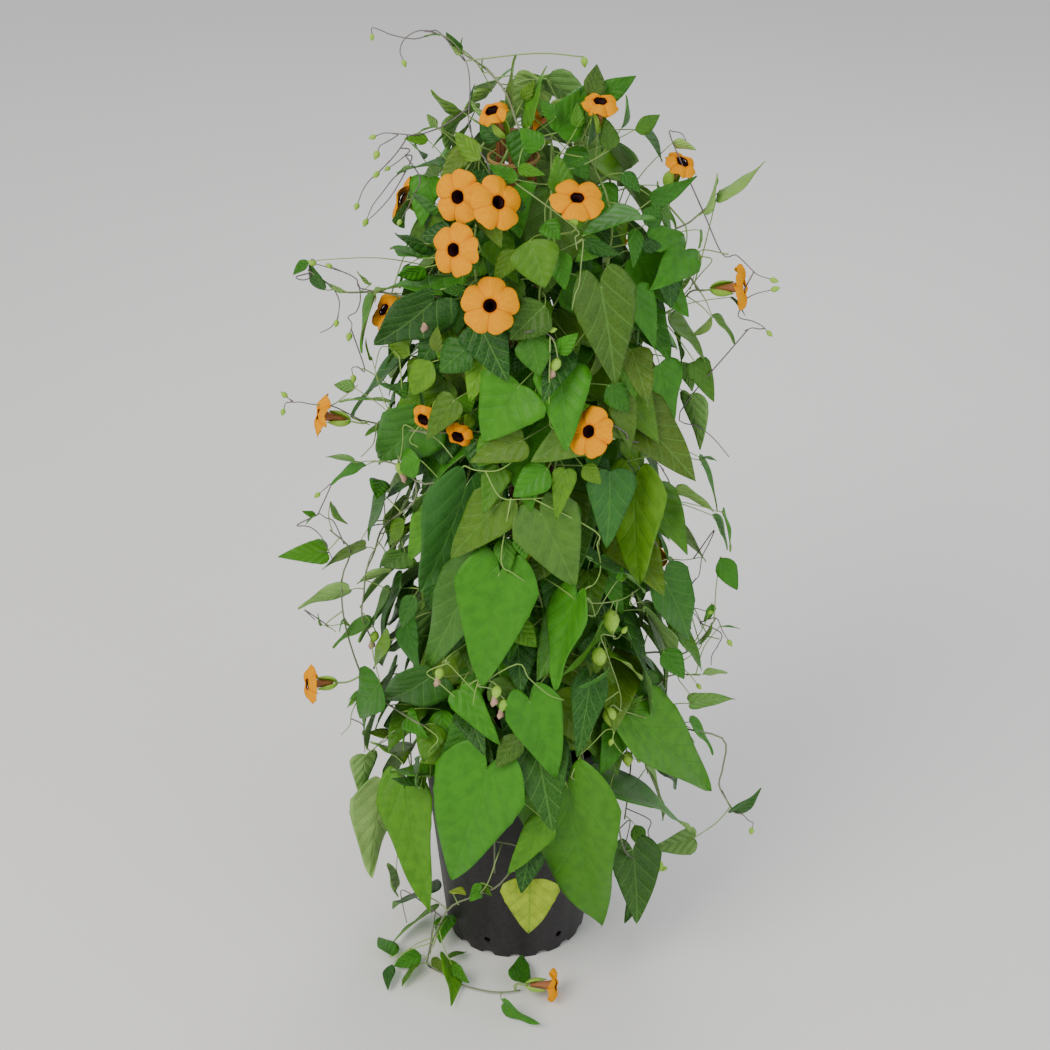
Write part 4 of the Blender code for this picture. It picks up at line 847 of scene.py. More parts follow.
@dataclass
class Vines:
    """The eight vines as placed: stems, leaves with their stalks' feet and blooms, and the joints on them."""

    thicket: Thicket
    joints: list[tuple[float, ...]] = field(default_factory=list)
    owners: list[int] = field(default_factory=list)
    taken: list[bool] = field(default_factory=list)
    stems: list[tuple[int, list[Vector], float]] = field(default_factory=list)
    leaves: list[tuple[int, Leaf, Vector]] = field(default_factory=list)
    blooms: list[tuple[str, Bloom]] = field(default_factory=list)
    longest_stalk: float = 0.105
    clear: float = CLEAR_THICKNESS
    joint_spacing: float = 0.009
    joint_apart: float = 0.012
    joint_choices: int = 9
    joint_tries: int = 60
    joint_near: float = 0.003
    lean_cost: float = 0.030
    pot_radius: float = 0.0890
    potted_rise: float = 0.006
    short_stalk: float = 0.022
    floor_room: float = 0.0012

    def stem(self, vine: int, points: list[Vector], radius: float) -> None:
        """Grow a stem and offer points along it to later stalks.

        Args:
            vine: The vine that it belongs to.
            points: The points that it follows.
            radius: Its radius.
        """
        self.stems.append((vine, points, radius))
        self.thicket.add(tube_solid(vine, points, radius))
        for start, end in zip(points, points[1:]):
            steps = max(1, round((end - start).length / self.joint_spacing))
            for i in range(1, steps + 1):
                self.joint(vine, start.lerp(end, i / (steps + 0.5)))

    def joint(self, vine: int, point: Vector) -> None:
        """Offer one point of a vine to later stalks."""
        self.joints.append(tuple(point))
        self.owners.append(vine)
        self.taken.append(False)

    def nearest(self, point: Vector, away: Vector, only: int | None = None) -> list[tuple[int, Vector]]:
        """Joints near a point, best first: near, and not on the far side of the blade.

        Args:
            point: Where the stalk ends.
            away: The direction that the stalk's foot should not lie in.
            only: The one vine to search, or None for all.

        Returns:
            The vine and the place of each joint chosen.
        """
        spots = np.array(self.joints)
        gaps = spots - np.array(point)
        distance = np.linalg.norm(gaps, axis=1)
        lean = gaps @ np.array(away) / np.maximum(distance, 1e-6)
        cost = distance + self.lean_cost * np.maximum(lean + 0.1, 0.0)
        cost += np.where(np.array(self.taken) | (distance < self.joint_near), 1.0, 0.0)
        within = np.hypot(spots[:, 0], spots[:, 1]) < self.pot_radius
        cost += np.where(within & (spots[:, 2] < SOIL_TOP + self.potted_rise), 1.0, 0.0)
        if only is not None:
            cost += np.where(np.array(self.owners) == only, 0.0, 1.0)
        chosen: list[int] = []
        for i in np.argsort(cost)[: self.joint_tries]:
            if cost[i] > self.longest_stalk:
                break
            if all(np.linalg.norm(spots[i] - spots[j]) > self.joint_apart for j in chosen):
                chosen.append(int(i))
            if len(chosen) == self.joint_choices:
                break
        return [(self.owners[i], Vector(self.joints[i])) for i in chosen]

    def try_leaf(self, leaf: Leaf) -> bool:
        """Grow a leaf where it and its stalk are clear of all else; say whether it took."""
        points, faces = leaf.plain()
        wide = Solid.of_sheet(-1, "blade", points, faces, self.clear)
        met = self.thicket.stems_met(wide)
        if wide.low[2] < self.floor_room or met is None or len(met) > 1:
            return False
        for vine, foot in self.nearest(leaf.base, leaf.along, next(iter(met), None)):
            stalk = leaf.stalk_solid(vine, foot, self.clear)
            short = (foot - leaf.base).length < self.short_stalk

            def heeds(placed: Solid, vine: int = vine, short: bool = short) -> bool:
                """A short stalk may cross stems of its own vine."""
                return placed.owner != vine or placed.kind != "stem" or not short

            if not self.thicket.free(stalk, heeds):
                continue
            self.thicket.add(Solid.of_sheet(vine, "blade", points, faces, BLADE_THICKNESS))
            self.thicket.add(leaf.stalk_solid(vine, foot, BLADE_THICKNESS))
            self.taken[self.joints.index(tuple(foot))] = True
            self.leaves.append((vine, leaf, foot))
            return True
        return False

    def try_bloom(self, name: str, bloom: Bloom) -> bool:
        """Grow a bloom with its stalk and bracts where there is room; say whether it took."""
        points, faces = bloom.plain()
        wide = Solid.of_sheet(-1, "bloom", points, faces, CLEAR_THICKNESS)
        if not self.thicket.free(wide, lambda placed: True):
            return False
        for vine, foot in self.nearest(bloom.neck, bloom.aim):
            test = tube_solid(vine, [foot.lerp(bloom.neck, 0.15), bloom.neck, bloom.seat], 2 * SHOOT_RADIUS)

            def heeds(placed: Solid, vine: int = vine) -> bool:
                """A flower's stalk may cross stems of its own vine."""
                return placed.owner != vine or placed.kind == "blade"

            if not self.thicket.free(test, heeds):
                continue
            bloom.vine, bloom.foot = vine, foot
            self.thicket.add(tube_solid(vine, [foot, bloom.neck, bloom.seat], SHOOT_RADIUS))
            for bract in bloom.bract_solids():
                self.thicket.add(bract)
            self.thicket.add(Solid.of_sheet(-1, "bloom", points, faces, BLADE_THICKNESS))
            self.blooms.append((name, bloom))
            return True
        return False


class Grower:
    """Places everything that grows, in the order of the solids, and then what is too fine for them."""

    seen_tones = (Tone.DARK, Tone.MIDDLE, Tone.FRESH_AND_LIT)
    floor_base = 950
    floor_tip = 940
    fill_seed = 4
    fill_outer = 52
    fill_foot_z = 0.11
    fill_crown_z = 0.80
    front_half_angle = 62.0
    # Painted shade: half the leaves round the sides and back are dark
    fill_tones = (Tone.DARK, Tone.MIDDLE, Tone.DARK, Tone.FRESH_AND_LIT)
    bloom_steps = (0.0, 0.006, -0.006, 0.012, -0.012, 0.02)
    rear_steps = (0.014, 0.02, 0.008, 0.028)
    hang_inset = 0.008
    fine_seed = 9
    fine_tries = 4200
    fine_clear = 0.0012
    fine_stalk = 0.080
    fine_heights = (0.215, 0.80)
    fine_reach = (0.40, 0.98)
    fine_sizes = ((0.85, 1.45), (0.55, 1.1), (0.35, 0.7))
    # Painted shade: the leaves of the deeper layer are mostly dark
    fine_tones = (Tone.DARK, Tone.DARK, Tone.MIDDLE, Tone.FRESH_AND_LIT)
    side_tries = 700
    side_heights = (0.33, 0.64)
    side_turns = (-75.0, 20.0)
    side_reach = (0.90, 1.20)
    side_lengths = (0.022, 0.044)
    side_tones = (Tone.MIDDLE, Tone.FRESH_AND_LIT, Tone.FRESH_AND_LIT)
    rear_limit = 0.122

    def __init__(self, vines: Vines) -> None:
        """Keep the vines to grow on."""
        self.vines = vines
        self.missed: list[Row] = []

    def grow(self) -> None:
        """Grow stems, blooms and leaves."""
        self.stems()
        self.blooms()
        self.seen_leaves(LEAVES, LEAST_LEAF, 1.0)
        self.fill_leaves()
        LOG.info("as the solids: %d leaves, %d blooms", len(self.vines.leaves), len(self.vines.blooms))

    def stems(self) -> None:
        """All trunks, runners, skirt shoots, side shoots and the trailer."""
        vines = self.vines
        for vine in range(VINES):
            trunk = ROUTES.trunk(vine)
            vines.stem(vine, trunk, TRUNK_RADIUS)
            vines.stem(vine, ROUTES.runner(vine, trunk), RUNNER_RADIUS)
            vines.stem(vine, ROUTES.skirt(vine, trunk), SHOOT_RADIUS)
        for vine, route in SHOOTS:
            points = [COLUMN.seen(x, y, 0.0) for x, y in route]
            foot = vines.nearest(points[0], points[1] - points[0], vine)[0][1]
            vines.stem(vine, [foot] + points, SHOOT_RADIUS)
        hang = [COLUMN.seen(x, y, self.hang_inset) for x, y in TRAILER_HANG]
        floor = [SIGHT.on_level(x, y, TRAILER_HEIGHT) for x, y in TRAILER_FLOOR]
        foot = vines.nearest(hang[0], hang[1] - hang[0], TRAILER_VINE)[0][1]
        vines.stem(TRAILER_VINE, [foot] + hang + floor, SHOOT_RADIUS)

    def blooms(self) -> None:
        """Every bloom, each moved out a little if its place is taken."""
        wanted: list[tuple[list[Vector], Vector, float]] = []
        for across, down, turn, rise, radius, proud in BLOOMS:
            eyes = [COLUMN.seen(across, down, -proud - s) for s in self.bloom_steps]
            wanted.append((eyes, SIGHT.facing(turn, rise), radius))
        for turn, z, yaw, rise in REAR_BLOOMS:
            eyes = [COLUMN.point(turn, COLUMN.radius(z) + s, z) for s in self.rear_steps]
            aim = COLUMN.point(turn + yaw, 1.0, 0.0) + Vector((0.0, 0.0, math.tan(math.radians(rise))))
            wanted.append((eyes, aim, REAR_BLOOM_RADIUS))
        aim = SIGHT.facing(*FLOOR_BLOOM_FACING)
        wanted.append(([SIGHT.on_level(*FLOOR_BLOOM)], aim, FLOOR_BLOOM_RADIUS))
        for i, (eyes, aim, radius) in enumerate(wanted):
            name = f"bloom_{i + 1:02d}"
            if not any(self.vines.try_bloom(name, Bloom(eye, aim, radius)) for eye in eyes):
                LOG.warning("no room for %s", name)

    def seen_leaves(self, rows: Sequence[Row], least: float, most: float) -> None:
        """The leaves of the front view, each at the first depth where it has room.

        Args:
            rows: Where each base and tip is seen, and how wide the leaf looks.
            least: The shortest leaf to grow, in metres.
            most: Leaves as long as this are not grown.
        """
        for i, (base_x, base_y, tip_x, tip_y, width) in enumerate(rows):
            if not least <= math.hypot(tip_x - base_x, tip_y - base_y) * SIGHT.unit < most:
                continue
            for inset in INSETS:
                base = COLUMN.seen(base_x, base_y, inset + 0.004)
                tip = COLUMN.seen(tip_x, tip_y, inset - 0.005)
                if base_y > self.floor_base or tip_y > self.floor_tip:
                    base = SIGHT.on_level(base_x, base_y, 0.010 + inset / 4)
                    tip = SIGHT.on_level(tip_x, tip_y, 0.004 + inset / 4)
                leaf = Leaf(base, tip, width * SIGHT.unit, 1 if i % 2 else -1)
                leaf.tone = TONES.get((base_x, base_y), self.seen_tones[i % len(self.seen_tones)])
                if self.vines.try_leaf(leaf):
                    break
            else:
                self.missed.append((base_x, base_y, tip_x, tip_y, width))

    def fill_leaves(self) -> None:
        """Leaves round the sides and back, larger towards the pot, hanging outward."""
        draw = random.Random(self.fill_seed)
        half_open = math.radians(180.0 - self.front_half_angle)
        for i in range(self.fill_outer):
            share = (i + 0.5) / self.fill_outer
            z = self.fill_foot_z + (self.fill_crown_z - self.fill_foot_z) * share
            turn = 2.0 * ((i * GOLDEN_TURN / (2 * math.pi)) % 1.0) - 1.0
            angle = math.radians(90.0) + half_open * turn
            length = (0.078 - 0.042 * share) * draw.uniform(0.78, 1.15)
            sway = draw.uniform(-0.5, 0.5)
            out = level_spot(1.0, angle)
            for inset in INSETS:
                radius = max(COLUMN.radius(z) - inset, 0.01)
                base = COLUMN.point(math.degrees(angle), radius, z)
                course = DOWN + out * 0.28 + Vector((-out.y, out.x, 0.0)) * sway
                width = length * draw.uniform(0.66, 0.84)
                leaf = Leaf(base, base + course.normalized() * length, width, 1)
                leaf.tone = self.fill_tones[i % len(self.fill_tones)]
                if self.vines.try_leaf(leaf):
                    break

    def fine_leaves(self) -> None:
        """Small seen leaves, a deeper layer that closes the column, mostly dark as painted shade, and light
        ones at its right side.
        """
        self.vines.clear = self.fine_clear
        self.seen_leaves(tuple(self.missed), 0.0, 1.0)
        self.seen_leaves(LEAVES, 0.0, LEAST_LEAF)
        self.seen_leaves(SMALL_LEAVES, 0.0, 1.0)
        draw = random.Random(self.fine_seed)
        self.vines.longest_stalk = self.fine_stalk
        for i in range(self.fine_tries):
            sizes = self.fine_sizes[i * len(self.fine_sizes) // self.fine_tries]
            z = draw.uniform(*self.fine_heights)
            turn = math.degrees(i * GOLDEN_TURN)
            radius = COLUMN.radius(z) * draw.uniform(*self.fine_reach) - 0.004
            length = (0.098 - 0.066 * z) * draw.uniform(*sizes)
            self.hanging_leaf(draw, COLUMN.point(turn, max(radius, 0.012), z), length, self.fine_tones)
        for _ in range(self.side_tries):
            z = draw.uniform(*self.side_heights)
            radius = COLUMN.radius(z) * draw.uniform(*self.side_reach)
            base = COLUMN.point(draw.uniform(*self.side_turns), radius, z)
            self.hanging_leaf(draw, base, draw.uniform(*self.side_lengths), self.side_tones)
        LOG.info("with the fine leaves: %d leaves", len(self.vines.leaves))

    def hanging_leaf(self, draw: random.Random, base: Vector, length: float, tones: Sequence[Tone]) -> None:
        """Try one leaf that hangs outward from its base.

        Args:
            draw: The source of its course, width and tone.
            base: Its base.
            length: Its length.
            tones: The tones to draw from.
        """
        out = COLUMN.outward(base)
        level = Vector((-out.y, out.x, 0.0)) * draw.uniform(-0.8, 0.8)
        course = Vector((0.0, 0.0, -draw.uniform(0.4, 1.0))) + out * draw.uniform(0.1, 0.7) + level
        tip = base + course.normalized() * length
        if max(base.y, tip.y) > self.rear_limit:
            return
        leaf = Leaf(base, tip, length * draw.uniform(0.62, 0.86), 1)
        leaf.tone = draw.choice(tones)
        self.vines.try_leaf(leaf)


def smooth(points: Points, steps: int) -> list[Vector]:
    """A Catmull-Rom curve through points.

    Args:
        points: The points to pass through.
        steps: How many pieces each span is cut into.

    Returns:
        The curve's points.
    """
    ends = [points[0] * 2 - points[1], *points, points[-1] * 2 - points[-2]]
    curve = []
    for a, b, c, d in zip(ends, ends[1:], ends[2:], ends[3:]):
        for i in range(steps):
            t = i / steps
            cubic = b * 2 + (c - a) * t + (a * 2 - b * 5 + c * 4 - d) * t**2 + (b * 3 - a - c * 3 + d) * t**3
            curve.append(cubic / 2)
    return curve + [points[-1]]


def outline_of(control: Sequence[Flat], steps: int) -> list[Flat]:
    """A smooth outline through flat points."""
    return [(p.x, p.y) for p in smooth([Vector((x, y, 0.0)) for x, y in control], steps)]


def merged(made: Mesh, within: float, outward: bool = False) -> Mesh:
    """Merge a mesh's equal points, turn its faces outward if asked, and shade it smooth.

    Args:
        made: The mesh.
        within: How near to each other points are merged, in metres.
        outward: Whether its faces are turned outward.

    Returns:
        The same mesh.
    """
    work = bmesh.new()
    work.from_mesh(made)
    bmesh.ops.remove_doubles(work, verts=work.verts, dist=within)
    if outward:
        bmesh.ops.recalc_face_normals(work, faces=work.faces)
    work.to_mesh(made)
    work.free()
    made.shade_smooth()
    return made


@dataclass
class Shape:
    """A mesh in the making, with a chart, a tone and a finish for what is added to it."""

    points: list[Vector] = field(default_factory=list)
    faces: list[Face] = field(default_factory=list)
    charts: list[Flat] = field(default_factory=list)
    tones: list[Triple] = field(default_factory=list)
    slots: list[int] = field(default_factory=list)

    def add(self, points: Points, faces: Faces, charts: Sequence[Flat], tone: Triple, slot: Slot) -> None:
        """Add points and faces.

        Args:
            points: The points.
            faces: The faces, numbered from the first of these points.
            charts: The flat place of each point.
            tone: The tone of them all.
            slot: The finish of the faces.
        """
        start = len(self.points)
        self.points += points
        self.charts += charts
        self.tones += [tone] * len(points)
        self.faces += [tuple(start + i for i in face) for face in faces]
        self.slots += [slot.value] * len(faces)

    def grid(
        self,
        rows: Sequence[Sequence[Vector]],
        tone: Triple,
        slot: Slot,
        closed: bool = False,
        charts: Sequence[Flat] | None = None,
    ) -> None:
        """Add a grid of points as quads, closed round each row if asked.

        Args:
            rows: The rows of points, all as long.
            tone: The tone.
            slot: The finish.
            closed: Whether each row is a ring.
            charts: The flat place of each point, or None for an even chart.
        """
        wide, tall = len(rows[0]), len(rows)
        span = wide if closed else wide - 1
        faces = []
        for j in range(tall - 1):
            for i in range(span):
                k = (i + 1) % wide
                faces.append((j * wide + i, j * wide + k, (j + 1) * wide + k, (j + 1) * wide + i))
        even = [(i / max(wide - 1, 1), j / max(tall - 1, 1)) for j in range(tall) for i in range(wide)]
        self.add([p for row in rows for p in row], faces, charts or even, tone, slot)

    def limb(
        self, points: Points, radii: Sequence[float], tone: Triple, slot: Slot = Slot.STEM, sides: int = 6
    ) -> None:
        """Add a round limb that tapers and has closed ends.

        Args:
            points: The points that it follows.
            radii: Its radius at each.
            tone: The tone.
            slot: The finish.
            sides: How many sides it has.
        """
        side = (points[1] - points[0]).orthogonal().normalized()
        turns = ring_turns(sides)
        rows = []
        for i, point in enumerate(points):
            ahead = points[min(i + 1, len(points) - 1)] - points[max(i - 1, 0)]
            ahead.normalize()
            side = (side - ahead * side.dot(ahead)).normalized()
            other = ahead.cross(side)
            rows.append([point + (side * math.cos(t) + other * math.sin(t)) * radii[i] for t in turns])
        rows = [[points[0]] * sides] + rows + [[points[-1]] * sides]
        self.grid(rows, tone, slot, closed=True)

    def mesh(self, name: str) -> Mesh:
        """The finished mesh, smooth, with equal points merged.

        Args:
            name: The mesh's name.

        Returns:
            The mesh.
        """
        made = bpy.data.meshes.new(name)
        made.from_pydata([tuple(p) for p in self.points], [], self.faces)
        chart = made.uv_layers.new(name="chart")
        corners = np.empty(len(made.loops), dtype=np.int32)
        made.loops.foreach_get("vertex_index", corners)
        chart.data.foreach_set("uv", np.array(self.charts, dtype=np.float32)[corners].ravel())
        tone = made.attributes.new("tone", "FLOAT_COLOR", "POINT")
        colours = np.ones((len(self.points), 4), dtype=np.float32)
        colours[:, :3] = self.tones
        tone.data.foreach_set("color", colours.ravel())
        made.polygons.foreach_set("material_index", np.array(self.slots, dtype=np.int32))
        return merged(made, 0.000002)

    def dressed(self, name: str, finishes: Finishes, node: str, slot: str, thickness: float = 0.0) -> Piece:
        """A piece that stands for a node of the solids.

        Args:
            name: The piece's name.
            finishes: Its materials, by slot number.
            node: The node that it replaces.
            slot: The record's material slot; not used.
            thickness: How thick its open sheets are made, or 0 where it has none.

        Returns:
            The piece.
        """
        piece = place(name, self.mesh(name), finishes)
        if thickness:
            thicken(piece, thickness)
        return stand_for(piece, node)


def thicken(piece: Piece, thickness: float, other_side: int = 0) -> None:
    """Give a piece's open sheets a thickness.

    Args:
        piece: The piece.
        thickness: How far apart the two sides are.
        other_side: How many slots on the finish of the back lies.
    """
    solidify = piece.modifiers.new("Thickness", "SOLIDIFY")
    solidify.thickness = thickness
    solidify.offset = 0.0
    solidify.material_offset = other_side


def baked(piece: Piece) -> Mesh:
    """The mesh of a piece with its modifiers applied."""
    return bpy.data.meshes.new_from_object(piece.evaluated_get(bpy.context.evaluated_depsgraph_get()))


def stand_for(piece: Piece, node: str) -> Piece:
    """Let a piece ride the part's body in place of a node of the solids, and report it.

    Args:
        piece: The piece.
        node: The node that it replaces.

    Returns:
        The same piece.
    """
    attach(piece, ROOT)
    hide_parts(node)
    LOG.info("%s stands for %s: %d faces", piece.name, node, len(piece.data.polygons))
    return piece


def place(name: str, mesh: Mesh, finishes: Finishes) -> Piece:
    """An object in the scene for a mesh, with its materials."""
    for finish in finishes:
        mesh.materials.append(finish)
    made = bpy.data.objects.new(name, mesh)
    bpy.context.scene.collection.objects.link(made)
    return made


@dataclass
class LeafModel:
    """Builds a fine blade with lobes, teeth, waves and a tapered stalk."""

    large: tuple[Flat, ...] = (
        (0.0, 0.0), (0.14, -0.10), (0.42, -0.18), (0.80, -0.10), (1.05, 0.08), (0.92, 0.27), (0.68, 0.50),
        (0.38, 0.76), (0.14, 0.93), (0.0, 1.0),
    )  # fmt: skip
    middle: tuple[Flat, ...] = (
        (0.0, 0.0), (0.20, -0.04), (0.56, -0.05), (0.90, 0.02), (1.0, 0.14), (0.84, 0.32), (0.62, 0.54),
        (0.36, 0.77), (0.13, 0.93), (0.0, 1.0),
    )  # fmt: skip
    small: tuple[Flat, ...] = (
        (0.0, 0.0), (0.30, 0.03), (0.70, 0.11), (0.95, 0.23), (0.98, 0.36), (0.82, 0.54), (0.56, 0.72),
        (0.30, 0.87), (0.10, 0.96), (0.0, 1.0),
    )  # fmt: skip
    tooth: float = 0.030
    toothed: Flat = (-0.02, 0.50)
    wave: float = 0.022
    quilt: float = 0.010
    tone_spread: float = 0.14
    stalk_radius: float = 0.00065
    stalk_growth: Flat = (0.75, 5.0)
    stalk_taper: float = 0.45
    stalk_bow: Flat = (0.05, 0.06)
    stalk_end: float = 0.10
    stalk_sunk: float = 0.0004

    def blade(self, shape: Shape, leaf: Leaf, draw: random.Random, slot: Slot = Slot.BLADE) -> None:
        """Add a blade to a shape.

        Args:
            shape: The shape to add to.
            leaf: The leaf.
            draw: The source of its small differences.
            slot: The finish.
        """
        if leaf.length >= leaf.large:
            control, steps, rings = self.large, 4, (0.0, 0.3, 0.62, 0.86, 1.0)
        elif leaf.length >= leaf.small:
            control, steps, rings = self.middle, 3, (0.0, 0.4, 0.75, 1.0)
        else:
            control, steps, rings = self.small, 2, (0.0, 0.55, 1.0)
        edge = outline_of(control, steps)
        phase, swell = draw.uniform(0.0, 6.28), draw.uniform(0.5, 1.3)
        spread = self.tone_spread
        tone = tuple(min(1.0, max(0.0, value + draw.uniform(-spread, spread))) for value in leaf.tone.value)
        for side in (-1, 1):
            rows, charts = [], []
            for j, (x, y) in enumerate(edge):
                toothed = self.toothed[0] < y < self.toothed[1] and j % steps == 0 and x > 0.5
                tooth = self.tooth if toothed else 0.0
                heart = max(0.0, min(1.0, y * 1.06 - 0.04))
                row = []
                for ring in rings:
                    u, v = x * ring * (1.0 + tooth * ring), heart + (y - heart) * ring
                    ripple = self.wave * swell * leaf.length * ring**2
                    lift = ripple * math.sin(phase + side * 1.7 + 9.0 * v + 2.0 * ring)
                    lift += self.quilt * leaf.length * math.sin(math.pi * min(1.0, abs(u))) * swell
                    row.append(leaf.spot(side * u, v) + leaf.face * lift)
                    across = (side * u + CHART_HALF) / (2 * CHART_HALF)
                    charts.append((across, (v + CHART_FOOT) / CHART_LENGTH))
                rows.append(row if side < 0 else row[::-1])
                if side > 0:
                    charts[-len(rings) :] = charts[-len(rings) :][::-1]
            shape.grid(rows, tone, slot, charts=charts)

    def stalk(self, shape: Shape, leaf: Leaf, foot: Vector) -> None:
        """Add the stalk, bowed a little, from its foot in the stem to the midrib.

        Args:
            shape: The shape to add to.
            leaf: The leaf.
            foot: Where the stalk meets the stem.
        """
        end = leaf.base + leaf.along * (self.stalk_end * leaf.length) - leaf.face * self.stalk_sunk
        span = (leaf.base - foot).length
        bow = leaf.face * (self.stalk_bow[0] * span) - leaf.along * (self.stalk_bow[1] * span)
        seat = leaf.base - leaf.face * self.stalk_sunk
        points = smooth([foot, (foot + leaf.base) / 2 + bow, seat, end], 4)
        thick = self.stalk_radius * (self.stalk_growth[0] + self.stalk_growth[1] * leaf.length)
        radii = [thick * (1.0 - self.stalk_taper * i / (len(points) - 1)) for i in range(len(points))]
        # The stalk's colour follows the leaf's lightness, which is partly painted light and shade
        fresh_and_lit, grey, _ = leaf.tone.value
        shape.limb(points, radii, (0.30 - 0.2 * fresh_and_lit + 0.1 * grey, 0.0, 0.0), sides=5)


@dataclass
class BloomModel:
    """Builds a fine corolla, its tube, bracts and stalk."""

    lobe_half: float = 40.0
    lobe_shift: float = 2.5
    lobe_overlap: float = 1.03
    lobe_corner: Flat = (0.26, 3.5)
    notch: Flat = (0.04, 0.22)
    notch_from: float = 0.9
    twist: float = 0.0007
    ripple: float = 0.0008
    curl: Flat = (-0.0012, 0.0010)
    throat: float = THROAT_RADIUS
    turns: int = 10
    rings: tuple[float, ...] = (0.21, 0.34, 0.48, 0.62, 0.76, 0.88, 0.96, 1.0)
    tube_sides: int = 16
    inside: tuple[Flat, ...] = (
        (0.0009, 1.22), (0.0004, 1.05), (-0.003, 0.76), (-0.009, 0.50), (-0.016, 0.30),
    )  # fmt: skip
    outside: tuple[Flat, ...] = (
        (-0.0006, 1.16), (-0.003, 0.96), (-0.009, 0.76), (-0.015, 0.56), (-0.0205, 0.36),
    )  # fmt: skip
    bract_length: float = 0.0195
    bract_width: float = 0.30
    bract_bulge: float = 0.22
    bract_spread: float = 0.20
    bract_bow: float = 1.15

    def corolla(self, shape: Shape, bloom: Bloom, draw: random.Random) -> None:
        """Add five overlapping lobes with a shallow notch each.

        Args:
            shape: The shape to add to.
            bloom: The bloom.
            draw: The source of its small differences.
        """
        inner, outer = self.rings[0], 1.0 - self.rings[0]
        for lobe in range(bloom.lobes):
            middle = 360.0 * lobe / bloom.lobes + draw.uniform(-self.lobe_shift, self.lobe_shift)
            curl, phase = draw.uniform(*self.curl), draw.uniform(0.0, 6.28)
            rows, charts = [], []
            for share in self.rings:
                row = []
                for i in range(self.turns + 1):
                    at = 2.0 * i / self.turns - 1.0
                    spread = self.lobe_half * (0.84 + 0.16 * math.sin(math.pi * min(share, 0.9) * 0.6))
                    notch = self.notch[0] * math.exp(-((at / self.notch[1]) ** 2)) * (share > self.notch_from)
                    edge = 1.0 - self.lobe_corner[0] * abs(at) ** self.lobe_corner[1] - notch
                    beyond = bloom.radius * self.lobe_overlap * edge - self.throat
                    reach = self.throat + beyond * (share - inner) / outer
                    lift = bloom.lift(at * spread * 0.8, share) + self.twist * at * share
                    lift += curl * share**3 + self.ripple * share**2 * math.sin(phase + 5.0 * at)
                    row.append(bloom.spot(middle + at * spread, reach, lift))
                    charts.append((reach / PETAL_CHART, (lobe + (at + 1.0) / 2.0) / bloom.lobes))
                rows.append(row[::-1])
                charts[-self.turns - 1 :] = charts[-self.turns - 1 :][::-1]
            shape.grid(rows, (draw.uniform(0.3, 0.8), 0.0, 0.0), Slot.BLADE, charts=charts)

    def tube(self, shape: Shape, bloom: Bloom) -> None:
        """Add the tube, open at the throat, dark inside and pale outside."""
        turns = [360.0 / self.tube_sides * k for k in range(self.tube_sides)]
        for slot, places in ((Slot.UNDERSIDE, self.inside), (Slot.STEM, self.outside)):
            rows = [
                [bloom.spot(turn, self.throat * share, depth) for turn in turns] for depth, share in places
            ]
            rows.append([bloom.eye + bloom.aim * (places[-1][0] - 0.0003)] * self.tube_sides)
            shape.grid(rows, (0.5, 0.0, 0.0), slot, True)

    def stalk_and_bracts(self, stems: Shape, bracts: Shape, bloom: Bloom, draw: random.Random) -> None:
        """Add the flower's stalk and its two cupped bracts to a vine's shapes.

        Args:
            stems: The shape of the vine's stems.
            bracts: The shape of its bracts.
            bloom: The bloom.
            draw: The source of small differences.
        """
        points = smooth([bloom.foot, bloom.neck, bloom.seat], 5)
        stems.limb(points, [SHOOT_RADIUS * 0.95] * len(points), (0.25, 0.0, 0.0))
        for side in (-1, 1):
            self.bract(bracts, bloom, bloom.across * side, draw.uniform(0.7, 1.0))

    def bract(self, shape: Shape, bloom: Bloom, out: Vector, tone: float) -> None:
        """Add one cupped bract.

        Args:
            shape: The shape to add to.
            bloom: The bloom that it cups.
            out: The side that it lies on.
            tone: Its freshness.
        """
        level, length, bow = bloom.aim.cross(out).normalized(), self.bract_length, self.bract_bow
        rows = []
        for j in range(11):
            v = j / 10
            swell = math.sin(math.pi * v**0.72) ** 0.75 if 0.0 < v < 1.0 else 0.0
            wide = length * self.bract_width * swell
            bulge = length * (self.bract_bulge * math.sin(math.pi * v**0.8) + self.bract_spread * v**2)
            middle = bloom.seat + bloom.aim * (length * v - 0.003) + out * (bulge + 0.0012)
            row = []
            for k in range(9):
                u = k / 4 - 1.0
                sunk = out * (wide * (1.0 - math.cos(bow * u)))
                row.append(middle + level * (wide * math.sin(bow * u)) - sunk)
            rows.append(row)
        shape.grid(rows, (tone, 0.0, 0.0), Slot.BRACT)


